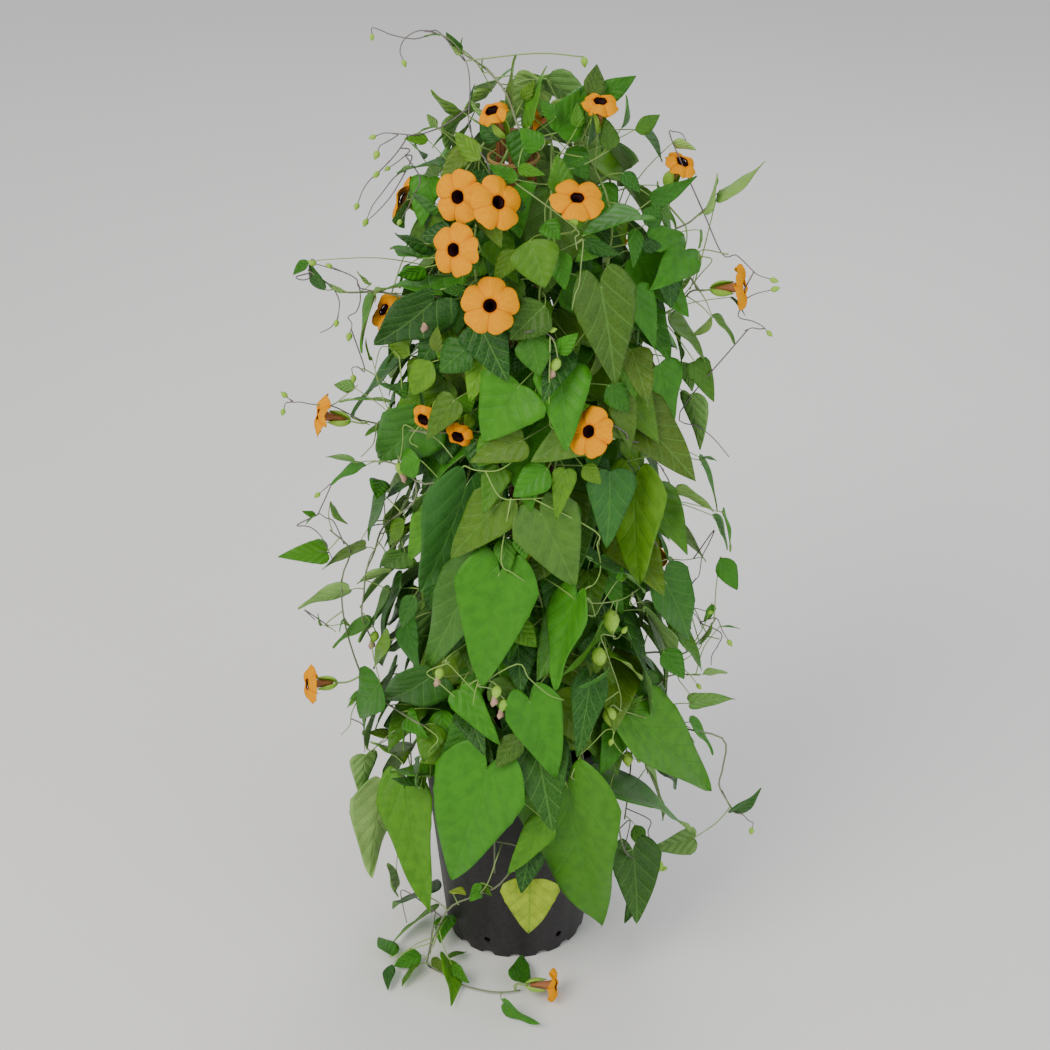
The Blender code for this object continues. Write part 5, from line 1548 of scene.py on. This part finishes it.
@dataclass
class VineModel:
    """Builds one vine's fine piece: stems, stalks, blades, bracts, sprigs and buds."""

    vines: Vines
    leaf: LeafModel
    bloom: BloomModel
    sprigs: list[tuple[int, list[Vector], Bark, Tip]] = field(default_factory=list)
    bud_outline: tuple[Flat, ...] = (
        (-0.02, 0.10), (0.06, 0.20), (0.20, 0.30), (0.42, 0.34), (0.64, 0.27), (0.84, 0.14), (1.0, 0.02),
    )  # fmt: skip
    faded_radii: tuple[float, ...] = (0.0018, 0.0022, 0.0019, 0.0026, 0.0030, 0.0022, 0.0008)
    faded_length: float = 0.012
    sprig_reach: float = 0.3
    sprig_radius: float = 0.00062
    sprig_taper: float = 0.00022
    hanging_radius: float = 0.0006

    def place_sprigs(self) -> None:
        """Find the stem that each sprig grows on, and its places."""
        self.vines.longest_stalk = self.sprig_reach
        for bark, tip, flat in SPRIGS:
            points = [COLUMN.seen(x, y, -0.004) for x, y in zip(flat[::2], flat[1::2])]
            vine, foot = self.vines.nearest(points[0], points[1] - points[0])[0]
            self.sprigs.append((vine, [foot] + points, bark, tip))
            for start, end in zip(points, points[1:]):
                self.vines.joint(vine, (start + end) / 2)

    def bud(self, shape: Shape, point: Vector, aim: Vector, length: float, draw: random.Random) -> None:
        """Add a bud in its closed bracts.

        Args:
            shape: The shape to add to.
            point: Where its stalk ends.
            aim: The way that it points.
            length: How long it is.
            draw: The source of small differences.
        """
        points = [point + aim * (length * along) for along, _ in self.bud_outline]
        radii = [length * wide for _, wide in self.bud_outline]
        shape.limb(points, radii, (draw.uniform(0.6, 1.0), 0.0, 0.0), Slot.BRACT, 8)

    def hang(self, stems: Shape, point: Vector, rise: float, bark: float) -> None:
        """Add the arched stalk that something hangs from.

        Args:
            stems: The shape of the vine's stems.
            point: Where the stalk ends.
            rise: How high its arch is, in metres.
            bark: Its tone.
        """
        foot = self.vines.nearest(point, DOWN)[0][1]
        course = smooth([foot, foot.lerp(point, 0.6) + Vector((0.0, 0.0, rise)), point], 4)
        stems.limb(course, [self.hanging_radius] * len(course), (bark, 0.0, 0.0))

    def build(self, vine: int, finishes: Finishes) -> Piece:
        """Build and dress one vine.

        Args:
            vine: Its number from 0.
            finishes: The materials, by slot.

        Returns:
            The piece.
        """
        draw = random.Random(100 + vine)
        stems, sheets, bracts = Shape(), Shape(), Shape()
        for owner, points, radius in self.vines.stems:
            if owner != vine:
                continue
            curve = smooth(points, 4)
            last = len(curve) - 1
            bark = 0.30 if radius > SHOOT_RADIUS else 0.70
            radii = [radius * (1.05 - 0.25 * i / last) for i in range(last + 1)]
            stems.limb(curve, radii, (bark, 0.0, 0.0), sides=7)
        for owner, leaf, foot in self.vines.leaves:
            if owner == vine:
                self.leaf.blade(sheets, leaf, draw)
                self.leaf.stalk(stems, leaf, foot)
        for _, bloom in self.vines.blooms:
            if bloom.vine == vine:
                self.bloom.stalk_and_bracts(stems, bracts, bloom, draw)
        for owner, points, bark, tip in self.sprigs:
            if owner != vine:
                continue
            curve = smooth(points, 4)
            last = len(curve) - 1
            radii = [self.sprig_radius - self.sprig_taper * i / last for i in range(last + 1)]
            stems.limb(curve, radii, (bark.value, 0.0, 0.0), sides=5)
            aim = (points[-1] - points[-2]).normalized()
            if tip is Tip.BUD:
                self.bud(stems, points[-1], aim, draw.uniform(0.0055, 0.0080), draw)
            elif tip is Tip.LEAF:
                for side in (-1, 1):
                    out = aim.orthogonal().normalized() * side
                    tiny = Leaf(points[-1], points[-1] + (aim + out * 0.6).normalized() * 0.012, 0.006, side)
                    tiny.tone = Tone.FRESH_AND_LIT
                    self.leaf.blade(sheets, tiny, draw)
        for i, (x, y, long) in enumerate(CALYXES):
            if i % VINES == vine:
                point = COLUMN.seen(x, y - long / 2, 0.002)
                self.bud(stems, point, Vector((0.1, -0.15, -1.0)).normalized(), long * SIGHT.unit, draw)
                self.hang(stems, point, 0.004, 0.3)
        for i, (x, y) in enumerate(FADED):
            if i % VINES == vine:
                self.faded(stems, x, y, draw)
        name = f"vine_{vine + 1}_grown"
        work = bmesh.new()
        work.from_mesh(self.thickened(sheets, finishes, 1))
        if bracts.points:
            work.from_mesh(self.thickened(bracts, finishes, 0))
        work.from_mesh(stems.mesh("stems"))
        for vertex in work.verts:
            vertex.co.z = max(vertex.co.z, FLOOR_GAP)
        mesh = bpy.data.meshes.new(name)
        work.to_mesh(mesh)
        work.free()
        mesh.shade_smooth()
        return stand_for(place(name, mesh, finishes), f"vine_{vine + 1}")

    def thickened(self, shape: Shape, finishes: Finishes, other_side: int) -> Mesh:
        """The mesh of thin sheets with both their sides.

        Args:
            shape: The sheets.
            finishes: The materials, by slot.
            other_side: How many slots on the finish of the back lies.

        Returns:
            The mesh.
        """
        sheet = place("sheet", shape.mesh("sheet"), finishes)
        thicken(sheet, SHEET_THICKNESS, other_side)
        thick = baked(sheet)
        bpy.data.objects.remove(sheet)
        return thick

    def faded(self, stems: Shape, x: float, y: float, draw: random.Random) -> None:
        """Add a bloom that has shrunk to a twist, with its bracts and stalk.

        Args:
            stems: The shape of the vine's stems.
            x: Where it is seen across the view.
            y: Where it is seen down the view.
            draw: The source of small differences.
        """
        top = COLUMN.seen(x, y - 8, 0.0)
        aim = Vector((draw.uniform(-0.4, 0.4), draw.uniform(-0.6, 0.0), -1.0)).normalized()
        self.hang(stems, top, 0.005, 0.4)
        self.bud(stems, top, aim, self.faded_length, draw)
        sways = [Vector((0.0007 * math.sin(2.1 * i), 0.0, 0.0)) for i in range(len(self.faded_radii))]
        middle = [top + aim * (0.006 + 0.002 * i) + sway for i, sway in enumerate(sways)]
        stems.limb(middle, self.faded_radii, (0.5, 0.0, 0.0), Slot.FADED)


def linear(code: str) -> tuple[float, float, float, float]:
    """The linear colour of an sRGB hex code such as #5FA030."""
    parts = [int(code[i : i + 2], 16) / 255 for i in (1, 3, 5)]
    parts = [p / 12.92 if p <= 0.04045 else ((p + 0.055) / 1.055) ** 2.4 for p in parts]
    return (*parts, 1.0)


def add_node(tree: Tree, kind: str, values: dict[Any, Any] | None = None, **settings: Any) -> bpy.types.Node:
    """Add a shader node with its settings, its values and its links.

    Args:
        tree: The tree to add to.
        kind: The node's type.
        values: For each input, by name or number, a socket to link or a value.
        settings: The node's own properties.

    Returns:
        The node.
    """
    made = tree.nodes.new(kind)
    for key, value in settings.items():
        setattr(made, key, value)
    for key, value in (values or {}).items():
        if isinstance(value, Socket):
            tree.links.new(value, made.inputs[key])
        else:
            made.inputs[key].default_value = value
    return made


@dataclass(frozen=True)
class Finish:
    """A Principled finish; the kinds below add their own patterns."""

    name: str
    colour: str
    roughness: float = 0.6
    specular: float = 0.4
    sheen: float = 0.0
    grain_size: float = 6.0
    relief: float = 0.0002

    def build(self) -> Material:
        """Make the material.

        Returns:
            The material.
        """
        made = bpy.data.materials.new(self.name)
        made.use_nodes = True
        tree = made.node_tree
        shader = tree.nodes["Principled BSDF"]
        shader.inputs["Roughness"].default_value = self.roughness
        shader.inputs["Specular IOR Level"].default_value = self.specular
        shader.inputs["Sheen Weight"].default_value = self.sheen
        colour, height, distance = self.pattern(tree)
        tree.links.new(colour, shader.inputs["Base Color"])
        if height:
            bump = add_node(tree, "ShaderNodeBump", {"Height": height, "Strength": 0.7, "Distance": distance})
            tree.links.new(bump.outputs[0], shader.inputs["Normal"])
        made.diffuse_color = linear(self.colour)
        return made

    def mix(self, tree: Tree, share: Any, first: Any, second: Any) -> Socket:
        """A mix of two colours, each a hex code or a socket, by a share."""
        values = {0: share}
        for slot, colour in ((6, first), (7, second)):
            values[slot] = linear(colour) if isinstance(colour, str) else colour
        return add_node(tree, "ShaderNodeMix", values, data_type="RGBA").outputs[2]

    def maths(self, tree: Tree, operation: str, *values: Any) -> Socket:
        """The result of a Math node."""
        return add_node(tree, "ShaderNodeMath", dict(enumerate(values)), operation=operation).outputs[0]

    def ramp(self, tree: Tree, value: Any, low: float, high: float) -> Socket:
        """How far a value has gone from low to high, smoothly, between 0 and 1."""
        values = {0: value, 1: low, 2: high}
        return add_node(tree, "ShaderNodeMapRange", values, interpolation_type="SMOOTHSTEP").outputs[0]

    def fall(self, tree: Tree, value: Any, low: float, high: float) -> Socket:
        """How far a value is from reaching high, smoothly: 1 up to low and 0 from high."""
        return self.maths(tree, "SUBTRACT", 1.0, self.ramp(tree, value, low, high))

    def grain(self, tree: Tree, millimetres: float, detail: float = 3.0) -> Socket:
        """Noise whose grain has a real size in the object's own space."""
        place_node = add_node(tree, "ShaderNodeTexCoord")
        values = {"Vector": place_node.outputs["Object"], "Scale": 1000.0 / millimetres, "Detail": detail}
        return add_node(tree, "ShaderNodeTexNoise", values).outputs["Fac"]

    def chart(self, tree: Tree) -> tuple[Socket, Socket]:
        """The two coordinates of the piece's chart."""
        uv = add_node(tree, "ShaderNodeUVMap", uv_map="chart")
        split = add_node(tree, "ShaderNodeSeparateXYZ", {0: uv.outputs[0]})
        return split.outputs[0], split.outputs[1]

    def tone(self, tree: Tree) -> tuple[Socket, ...]:
        """The three channels of the piece's tone."""
        read = add_node(tree, "ShaderNodeAttribute", attribute_name="tone")
        split = add_node(tree, "ShaderNodeSeparateColor", {0: read.outputs["Color"]})
        return tuple(split.outputs)

    def pattern(self, tree: Tree) -> Look:
        """The colour, the relief and the relief's depth in metres."""
        share = self.ramp(tree, self.grain(tree, self.grain_size), 0.3, 0.7)
        dark = tuple((0.7 if self.relief else 0.97) * c for c in linear(self.colour)[:3]) + (1.0,)
        height = self.grain(tree, self.grain_size / 5.0) if self.relief else None
        return self.mix(tree, share, dark, self.colour), height, self.relief


@dataclass(frozen=True)
class BladeFinish(Finish):
    """Leaf green with a midrib and arched side veins, from dark to fresh by the leaf's tone, a lightness that
    is partly painted light and shade.
    """

    # The darkest leaves' green, partly painted shade, which the mottle also takes
    dark: str = "#0D4203"
    grey: str = "#2F6A24"
    yellow: str = "#D2E02C"
    vein: str = "#6FA347"
    vein_dark: str = "#347A12"
    vein_strength: float = 0.40
    pairs: float = 4.5
    arch: Flat = (0.8, -0.42)
    midrib_edge: Flat = (0.01, 0.055)
    vein_edge: Flat = (0.01, 0.08)
    vein_fade: Flat = (0.5, 1.05)
    net_edge: Flat = (0.0, 0.14)
    faint: float = 0.35
    # In millimetres: the net's cells, the mottling and the finest grain
    cell: float = 4.0
    mottle: float = 9.0
    fine: float = 1.6
    depth: float = 0.0006

    def pattern(self, tree: Tree) -> Look:
        """Veins laid out on the blade's chart, over mottled green."""
        x, y = self.chart(tree)
        off = self.maths(tree, "ABSOLUTE", self.maths(tree, "MULTIPLY_ADD", x, 2 * CHART_HALF, -CHART_HALF))
        along = self.maths(tree, "MULTIPLY_ADD", y, CHART_LENGTH, -CHART_FOOT)
        midrib = self.fall(tree, off, *self.midrib_edge)
        rise = self.maths(tree, "MULTIPLY", self.maths(tree, "POWER", off, self.arch[0]), self.arch[1])
        bands = self.maths(tree, "MULTIPLY", self.maths(tree, "ADD", along, rise), self.pairs)
        phase = self.maths(tree, "SUBTRACT", self.maths(tree, "FRACT", bands), 0.5)
        beat = self.maths(tree, "ABSOLUTE", phase)
        side, fade = self.fall(tree, beat, *self.vein_edge), self.fall(tree, off, *self.vein_fade)
        veins = self.maths(tree, "MAXIMUM", midrib, self.maths(tree, "MULTIPLY", side, fade))
        fresh_and_lit, grey, yellow = self.tone(tree)[:3]
        mottle = self.ramp(tree, self.grain(tree, self.mottle), 0.35, 0.8)
        mottle = self.maths(tree, "MULTIPLY", mottle, self.faint)
        # Painted light and shade, partly the leaf's own freshness: the tone's lightness takes the green from
        # dark to light and sets the veins' colour
        green = self.mix(tree, fresh_and_lit, self.dark, self.colour)
        for share, colour in ((grey, self.grey), (yellow, self.yellow), (mottle, self.dark)):
            green = self.mix(tree, share, green, colour)
        place_node = add_node(tree, "ShaderNodeTexCoord")
        cells = {"Vector": place_node.outputs["Object"], "Scale": 1000.0 / self.cell}
        net = add_node(tree, "ShaderNodeTexVoronoi", cells, feature="DISTANCE_TO_EDGE").outputs["Distance"]
        net = self.maths(tree, "MULTIPLY", self.fall(tree, net, *self.net_edge), self.faint)
        veins = self.maths(tree, "MAXIMUM", veins, net)
        line = self.mix(tree, fresh_and_lit, self.vein, self.vein_dark)
        colour = self.mix(tree, self.maths(tree, "MULTIPLY", veins, self.vein_strength), green, line)
        quilt = self.maths(tree, "MULTIPLY_ADD", veins, -0.6, self.ramp(tree, beat, 0.0, 0.5))
        fine = self.maths(tree, "MULTIPLY_ADD", self.grain(tree, self.fine), self.faint, quilt)
        return colour, fine, self.depth


@dataclass(frozen=True)
class StemFinish(Finish):
    """Stems and tendrils, from light green to purplish grey by their tone."""

    thin: str = "#6F5F68"

    def pattern(self, tree: Tree) -> Look:
        """The two colours, with a fine grain."""
        share = self.tone(tree)[0]
        speck = self.maths(tree, "MULTIPLY_ADD", self.grain(tree, 2.5), 0.3, -0.15)
        share = self.maths(tree, "ADD", share, speck)
        return self.mix(tree, share, self.colour, self.thin), self.grain(tree, 0.6), 0.0001


@dataclass(frozen=True)
class PetalFinish(Finish):
    """Golden petal with fine streaks from a dark eye."""

    deep: str = "#DE7C00"
    eye: str = "#240308"
    eye_radius: float = 0.0053
    eye_edge: float = 0.0004
    eye_glow: float = 0.003

    def pattern(self, tree: Tree) -> Look:
        """The eye, a warm ring round it and streaks that run outward."""
        x, y = self.chart(tree)
        reach = self.maths(tree, "MULTIPLY", x, PETAL_CHART)
        stretch = {0: self.maths(tree, "MULTIPLY", y, 60.0), 1: self.maths(tree, "MULTIPLY", x, 2.0)}
        streak_at = add_node(tree, "ShaderNodeCombineXYZ", stretch)
        values = {"Vector": streak_at.outputs[0], "Scale": 2.0, "Detail": 3.0}
        streaks = add_node(tree, "ShaderNodeTexNoise", values).outputs["Fac"]
        share = self.maths(tree, "MULTIPLY", self.ramp(tree, streaks, 0.35, 0.75), 0.6)
        gold = self.mix(tree, share, self.colour, self.deep)
        ring = self.fall(tree, reach, self.eye_radius, self.eye_radius + self.eye_glow)
        gold = self.mix(tree, self.maths(tree, "MULTIPLY", ring, 0.7), gold, self.deep)
        dark = self.fall(tree, reach, self.eye_radius - self.eye_edge, self.eye_radius + self.eye_edge)
        return self.mix(tree, dark, gold, self.eye), streaks, 0.00025


@dataclass(frozen=True)
class BambooFinish(Finish):
    """Bamboo with long fibres and darker knots."""

    dark: str = "#4A2812"

    def pattern(self, tree: Tree) -> Look:
        """Fibres stretched along Z."""
        place_node = add_node(tree, "ShaderNodeTexCoord")
        values = {"Vector": place_node.outputs["Object"], "Scale": (900.0, 900.0, 14.0)}
        stretch = add_node(tree, "ShaderNodeMapping", values)
        values = {"Vector": stretch.outputs[0], "Scale": 1.0}
        fibres = add_node(tree, "ShaderNodeTexNoise", values).outputs["Fac"]
        share = self.ramp(tree, fibres, 0.35, 0.75)
        return self.mix(tree, share, self.colour, self.dark), fibres, 0.0002


@dataclass(frozen=True)
class SoilFinish(Finish):
    """Dark peat with paler specks."""

    speck: str = "#8A735C"
    deep: str = "#1A110B"

    def pattern(self, tree: Tree) -> Look:
        """Clods, with a few pale specks between."""
        share = self.ramp(tree, self.grain(tree, 3.0, 6.0), 0.62, 0.70)
        dark = self.mix(tree, self.ramp(tree, self.grain(tree, 8.0), 0.3, 0.7), self.deep, self.colour)
        return self.mix(tree, share, dark, self.speck), self.grain(tree, 2.5, 8.0), 0.0015


def turned(
    name: str, profile: Sequence[Flat], steps: int, groove: Callable[[float, float], float] | None = None
) -> Mesh:
    """A profile of (radius, z) turned about Z.

    Args:
        name: The mesh's name.
        profile: The profile, from the top down its outer side.
        steps: How many steps the turn has.
        groove: The height of a point from its turn and its own height, or None.

    Returns:
        The mesh.
    """
    points, faces = [], []
    for angle in ring_turns(steps):
        for radius, z in profile:
            height = groove(angle, z) if groove else z
            points.append((radius * math.cos(angle), radius * math.sin(angle), height))
    count = len(profile)
    for i in range(steps):
        k = (i + 1) % steps
        for j in range(count - 1):
            faces.append((i * count + j, i * count + j + 1, k * count + j + 1, k * count + j))
    made = bpy.data.meshes.new(name)
    made.from_pydata(points, [], faces)
    merged(made, 0.00001, outward=True).set_sharp_from_angle(angle=math.radians(40))
    return made


@dataclass
class Pot:
    """The nursery pot: tapered wall, rolled lip, notched foot, low drain holes."""

    height: float = 0.225
    base_radius: float = 0.0645
    top_radius: float = 0.0835
    lip_radius: float = 0.0890
    lip_height: float = 0.012
    lip_roll: float = 0.0011
    seams: tuple[Flat, ...] = ((0.62, 0.00035), (0.60, 0.00035))
    foot_rise: float = 0.0045
    wall: float = 0.0016
    floor: float = 0.0058
    foot_width: float = 0.0055
    notch: float = 0.0036
    notches: int = 16
    drain_radius: float = 0.0032
    drain_z: float = 0.018
    drains: int = 6
    steps: int = 128

    def profile(self) -> list[Flat]:
        """The pot's profile from the lip's top down the outside and up the inside."""
        lip, foot, curl = self.lip_radius, self.height - self.lip_height, self.lip_roll
        inner_base, inner_top = self.base_radius - self.wall, self.top_radius - self.wall
        roll = [
            (lip - curl + curl * math.sin(t), self.height - curl + curl * math.cos(t))
            for t in (0.0, 0.5, 1.0, 1.57)
        ]
        outside = roll + [
            (lip - 0.0003, foot + 0.0020), (lip - 0.0008, foot + 0.0006), (lip - 0.0016, foot),
            (self.top_radius + 0.0006, foot), (self.top_radius, foot - 0.0006),
        ]  # fmt: skip
        for share, proud in self.seams:
            radius = self.base_radius + (self.top_radius - self.base_radius) * share
            outside.append((radius + proud, self.foot_rise + (foot - self.foot_rise) * share))
        return outside + [
            (self.base_radius, self.foot_rise), (self.base_radius - 0.0006, 0.0),
            (self.base_radius - self.foot_width, 0.0), (self.base_radius - self.foot_width, self.notch),
            (0.0, self.notch), (0.0, self.floor), (inner_base - 0.001, self.floor), (inner_top, foot + 0.001),
            (lip - 0.0030, self.height - 0.0010), (lip - 0.0022, self.height - 0.0002),
            (lip - curl, self.height),
        ]  # fmt: skip

    def build(self, finish: Material) -> Piece:
        """Build and dress the pot.

        Args:
            finish: Its material.

        Returns:
            The piece.
        """

        def groove(angle: float, z: float) -> float:
            """Raise the foot in the notches."""
            return self.notch if z < 0.0001 and math.cos(angle * self.notches) > 0.25 else z

        piece = place("nursery_pot", turned("nursery_pot", self.profile(), self.steps, groove), [finish])
        cutters = []
        for i in range(self.drains):
            angle = 2 * math.pi * (i + 0.12) / self.drains
            out = level_spot(1.0, angle)
            bpy.ops.mesh.primitive_cylinder_add(
                vertices=20,
                radius=self.drain_radius,
                depth=0.02,
                location=out * self.base_radius + Vector((0.0, 0.0, self.drain_z)),
                rotation=out.to_track_quat("Z", "Y").to_euler(),
            )
            cutters.append(bpy.context.object)
        for cutter in cutters:
            cut = piece.modifiers.new("Drain", "BOOLEAN")
            cut.operation, cut.object, cut.solver = "DIFFERENCE", cutter, "EXACT"
        piece.data = baked(piece)
        piece.modifiers.clear()
        for cutter in cutters:
            bpy.data.objects.remove(cutter)
        return stand_for(piece, "pot")


@dataclass
class Soil:
    """The potting soil: a lumpy mound with loose crumbs."""

    radius: float = 0.0795
    floor: float = 0.0062
    floor_radius: float = 0.0600
    edge_top: float = 0.202
    sides: int = 72
    rings: int = 26
    crumbs: int = 420
    crumb_turns: tuple[float, ...] = (0.0, 1.05, 2.09, 3.14, 4.19, 5.24)
    seed: int = 12

    def top(self, x: float, y: float) -> float:
        """The height of the mound at a place."""
        share = math.hypot(x, y) / self.radius
        lump = noise.fractal(Vector((x * 70.0, y * 70.0, 3.0)), 0.8, 2.1, 4)
        return SOIL_TOP - (SOIL_TOP - self.edge_top) * share**2 + 0.0016 * lump - 0.0006

    def build(self, finish: Material) -> Piece:
        """Build and dress the soil.

        Args:
            finish: Its material.

        Returns:
            The piece.
        """
        shape, draw = Shape(), random.Random(self.seed)
        turns = ring_turns(self.sides)
        rows = [[Vector((0.0, 0.0, self.top(0.0, 0.0)))] * self.sides]
        for ring in range(1, self.rings + 1):
            reach = self.radius * ring / self.rings
            spots = [(reach * math.cos(t), reach * math.sin(t)) for t in turns]
            rows.append([Vector((x, y, self.top(x, y))) for x, y in spots])
        for reach in (self.floor_radius, 0.0):
            rows.append([level_spot(reach, t, self.floor) for t in turns])
        shape.grid(rows, (0.5, 0.0, 0.0), Slot.BLADE, closed=True)
        for _ in range(self.crumbs):
            reach, turn = self.radius * 0.94 * math.sqrt(draw.random()), draw.uniform(0.0, 6.28)
            x, y = reach * math.cos(turn), reach * math.sin(turn)
            size = draw.uniform(0.0007, 0.0022)
            middle = Vector((x, y, self.top(x, y) + size * 0.3))
            rings = []
            for j in range(5):
                tilt = math.pi * j / 4
                wide, high = math.sin(tilt) * size, math.cos(tilt) * size * 0.8
                rings.append(
                    [middle + level_spot(wide, t, -high) * draw.uniform(0.75, 1.2) for t in self.crumb_turns]
                )
            shape.grid(rings, (0.5, 0.0, 0.0), Slot.BLADE, closed=True)
        return shape.dressed("potting_mix", [finish], "soil", "potting_soil")


@dataclass
class Canes:
    """The three bamboo canes and the twine round their tops."""

    radius: float = 0.0040
    knot: float = 0.0003
    knot_outline: tuple[Flat, ...] = (
        (-0.006, 0.0), (-0.002, 0.6), (-0.0006, 1.0), (0.0, 0.2), (0.0008, 0.9), (0.005, 0.0),
    )  # fmt: skip
    foot_z: float = 0.095
    top_z: float = 0.775
    tie_radius: float = 0.01945
    tie_turns: int = 2
    tie_pitch: float = 0.0013
    tie_steps: int = 120
    twine: float = 0.0006
    strands: int = 2
    strand_spread: float = 0.00045
    strand_twists: float = 30.0

    def build_cane(self, cane: int, finish: Material) -> Piece:
        """Build and dress one cane.

        Args:
            cane: Its number from 0.
            finish: Its material.

        Returns:
            The piece.
        """
        foot, head = ROUTES.cane(cane, self.foot_z), ROUTES.cane(cane, self.top_z)
        length = (head - foot).length
        knots = [0.12 + 0.125 * k + 0.02 * cane for k in range(4)]
        stops, radii = [0.0], [self.radius]
        for knot in knots:
            for offset, extra in self.knot_outline:
                stops.append(knot + offset)
                radii.append(self.radius + self.knot * extra)
        stops += [length - 0.001, length]
        radii += [self.radius * 0.92, self.radius * 0.82]
        shape = Shape()
        shape.limb([foot.lerp(head, s / length) for s in stops], radii, (0.5, 0.0, 0.0), Slot.BLADE, 16)
        return shape.dressed(f"bamboo_cane_{cane + 1}", [finish], f"cane_{cane + 1}", "bamboo")

    def build_tie(self, finish: Material) -> Piece:
        """Build and dress the tie: turns of twine, each of strands twisted together.

        Args:
            finish: Its material.

        Returns:
            The piece.
        """
        shape = Shape()
        for turn in range(self.tie_turns):
            for strand in range(self.strands):
                points = []
                for i in range(self.tie_steps + 1):
                    angle = 2 * math.pi * i / self.tie_steps
                    twist = self.strand_twists * angle + math.pi * strand
                    reach = self.tie_radius + self.strand_spread * math.cos(twist)
                    z = ROUTES.tie_z + (turn - 0.5) * self.tie_pitch + self.strand_spread * math.sin(twist)
                    points.append(level_spot(reach, angle, z))
                shape.limb(points, [self.twine] * len(points), (0.5, 0.0, 0.0), Slot.BLADE, 6)
        return shape.dressed("cane_twine", [finish], "cane_tie", "tie")


@dataclass
class Studio:
    """A pale floor, soft lights and the camera."""

    floor: str = "#EFEEEB"
    floor_size: float = 40.0
    sky: str = "#F4F6FA"
    world: float = 0.72
    target: Triple = (0.0, 0.0, 0.42)

    def build(self) -> None:
        """Set the stage."""
        SIGHT.camera()
        bpy.ops.mesh.primitive_plane_add(size=self.floor_size, location=(0.0, 0.0, -FLOOR_GAP))
        ground = bpy.context.object
        ground.name = "studio_floor"
        ground.data.materials.append(Finish("pale_floor", self.floor, 0.9, 0.1, 0.0, 900.0, 0.0).build())
        ground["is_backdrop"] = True
        sky = bpy.data.worlds.new("studio")
        sky.use_nodes = True
        background = sky.node_tree.nodes["Background"].inputs
        background[0].default_value, background[1].default_value = linear(self.sky), self.world
        bpy.context.scene.world = sky
        self.light("key", (-1.3, -1.5, 2.1), 1.4, 45.0, "#FFF8EE")
        self.light("fill", (1.7, -1.3, 1.1), 1.5, 13.0, "#F0F4FF")
        self.light("back", (0.4, 1.6, 1.9), 1.2, 15.0, "#FFFFFF")

    def light(self, name: str, spot: Triple, size: float, power: float, tint: str) -> None:
        """Add a soft light aimed at the plant's middle.

        Args:
            name: Its name.
            spot: Where it stands.
            size: The side of its square.
            power: Its power in watts.
            tint: Its colour.
        """
        data = bpy.data.lights.new(name, "AREA")
        data.size, data.energy, data.color = size, power, linear(tint)[:3]
        made = bpy.data.objects.new(name, data)
        made.location = spot
        made.rotation_euler = (Vector(self.target) - Vector(spot)).to_track_quat("-Z", "Y").to_euler()
        bpy.context.scene.collection.objects.link(made)


def main() -> None:
    """Build, dress and place every piece."""
    logging.basicConfig(level=logging.INFO, format="%(name)s: %(message)s")
    Studio().build()
    thicket = Thicket()
    for name in HOLDERS:
        thicket.add(Solid.of_mesh(-1, "holder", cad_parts[name].data))
    vines = Vines(thicket)
    grower = Grower(vines)
    grower.grow()
    grower.fine_leaves()
    # Living leaf: soft, with a low even shine above, and paler and duller below
    blade = BladeFinish("leaf_blade", "#428E0A", 0.48, 0.3, 0.02)
    underside = BladeFinish(
        "leaf_underside", "#9CC56C", 0.62, 0.2, 0.04, dark="#5F9A3E", grey="#8DB07A", vein="#BFDA98",
        vein_dark="#7FAE4E",
    )  # fmt: skip
    finishes = [
        blade.build(),
        underside.build(),
        StemFinish("stem_bark", "#8FB850", 0.55).build(),
        BladeFinish(
            "bract", "#A4D04A", 0.55, 0.25, 0.05, dark="#78B032", grey="#9DBB72", vein="#6F9A36", pairs=0.0
        ).build(),
        Finish("faded_petal", "#C9A38C", 0.75, 0.2).build(),
    ]
    model = VineModel(vines, LeafModel(), BloomModel())
    model.place_sprigs()
    for vine in range(VINES):
        model.build(vine, finishes)
    # Living petal: velvety and matte, so deep gold without a glint round a nearly black eye
    petals = [
        PetalFinish("golden_petal", "#EDA000", 0.85, 0.0, 0.0).build(),
        Finish("throat", "#2A050B", 0.7, 0.2).build(),
        StemFinish("corolla_tube", "#C98A3A", 0.6, 0.3, 0.0, thin="#7A3A48").build(),
    ]
    for name, bloom in vines.blooms:
        shape, draw = Shape(), random.Random(name)
        model.bloom.corolla(shape, bloom, draw)
        model.bloom.tube(shape, bloom)
        shape.dressed(name + "_corolla", petals, name, "golden_petal", PETAL_THICKNESS)
    # Moulded plastic: a flat charcoal black, with a weak shine along its edges
    Pot().build(Finish("charcoal_plastic", "#2E2B2D", 0.55, 0.35).build())
    # Peat: dull dark crumbs among paler specks
    Soil().build(SoilFinish("potting_soil", "#3A2A1E", 0.95, 0.1).build())
    canes = Canes()
    # Stained bamboo: satin reddish brown, with darker fibres along it
    bamboo = BambooFinish("bamboo", "#8A5428", 0.45).build()
    for cane in range(3):
        canes.build_cane(cane, bamboo)
    # Twisted plant fibre: dull straw colour with a fine mottle
    canes.build_tie(Finish("twine", "#C9A46A", 0.85, 0.1).build())
    boxes = {"solids": SOLID_BOX, "looks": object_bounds()}
    {key: [list(map(float, corner)) for corner in box] for key, box in boxes.items()}


if __name__ == "__main__":
    main()
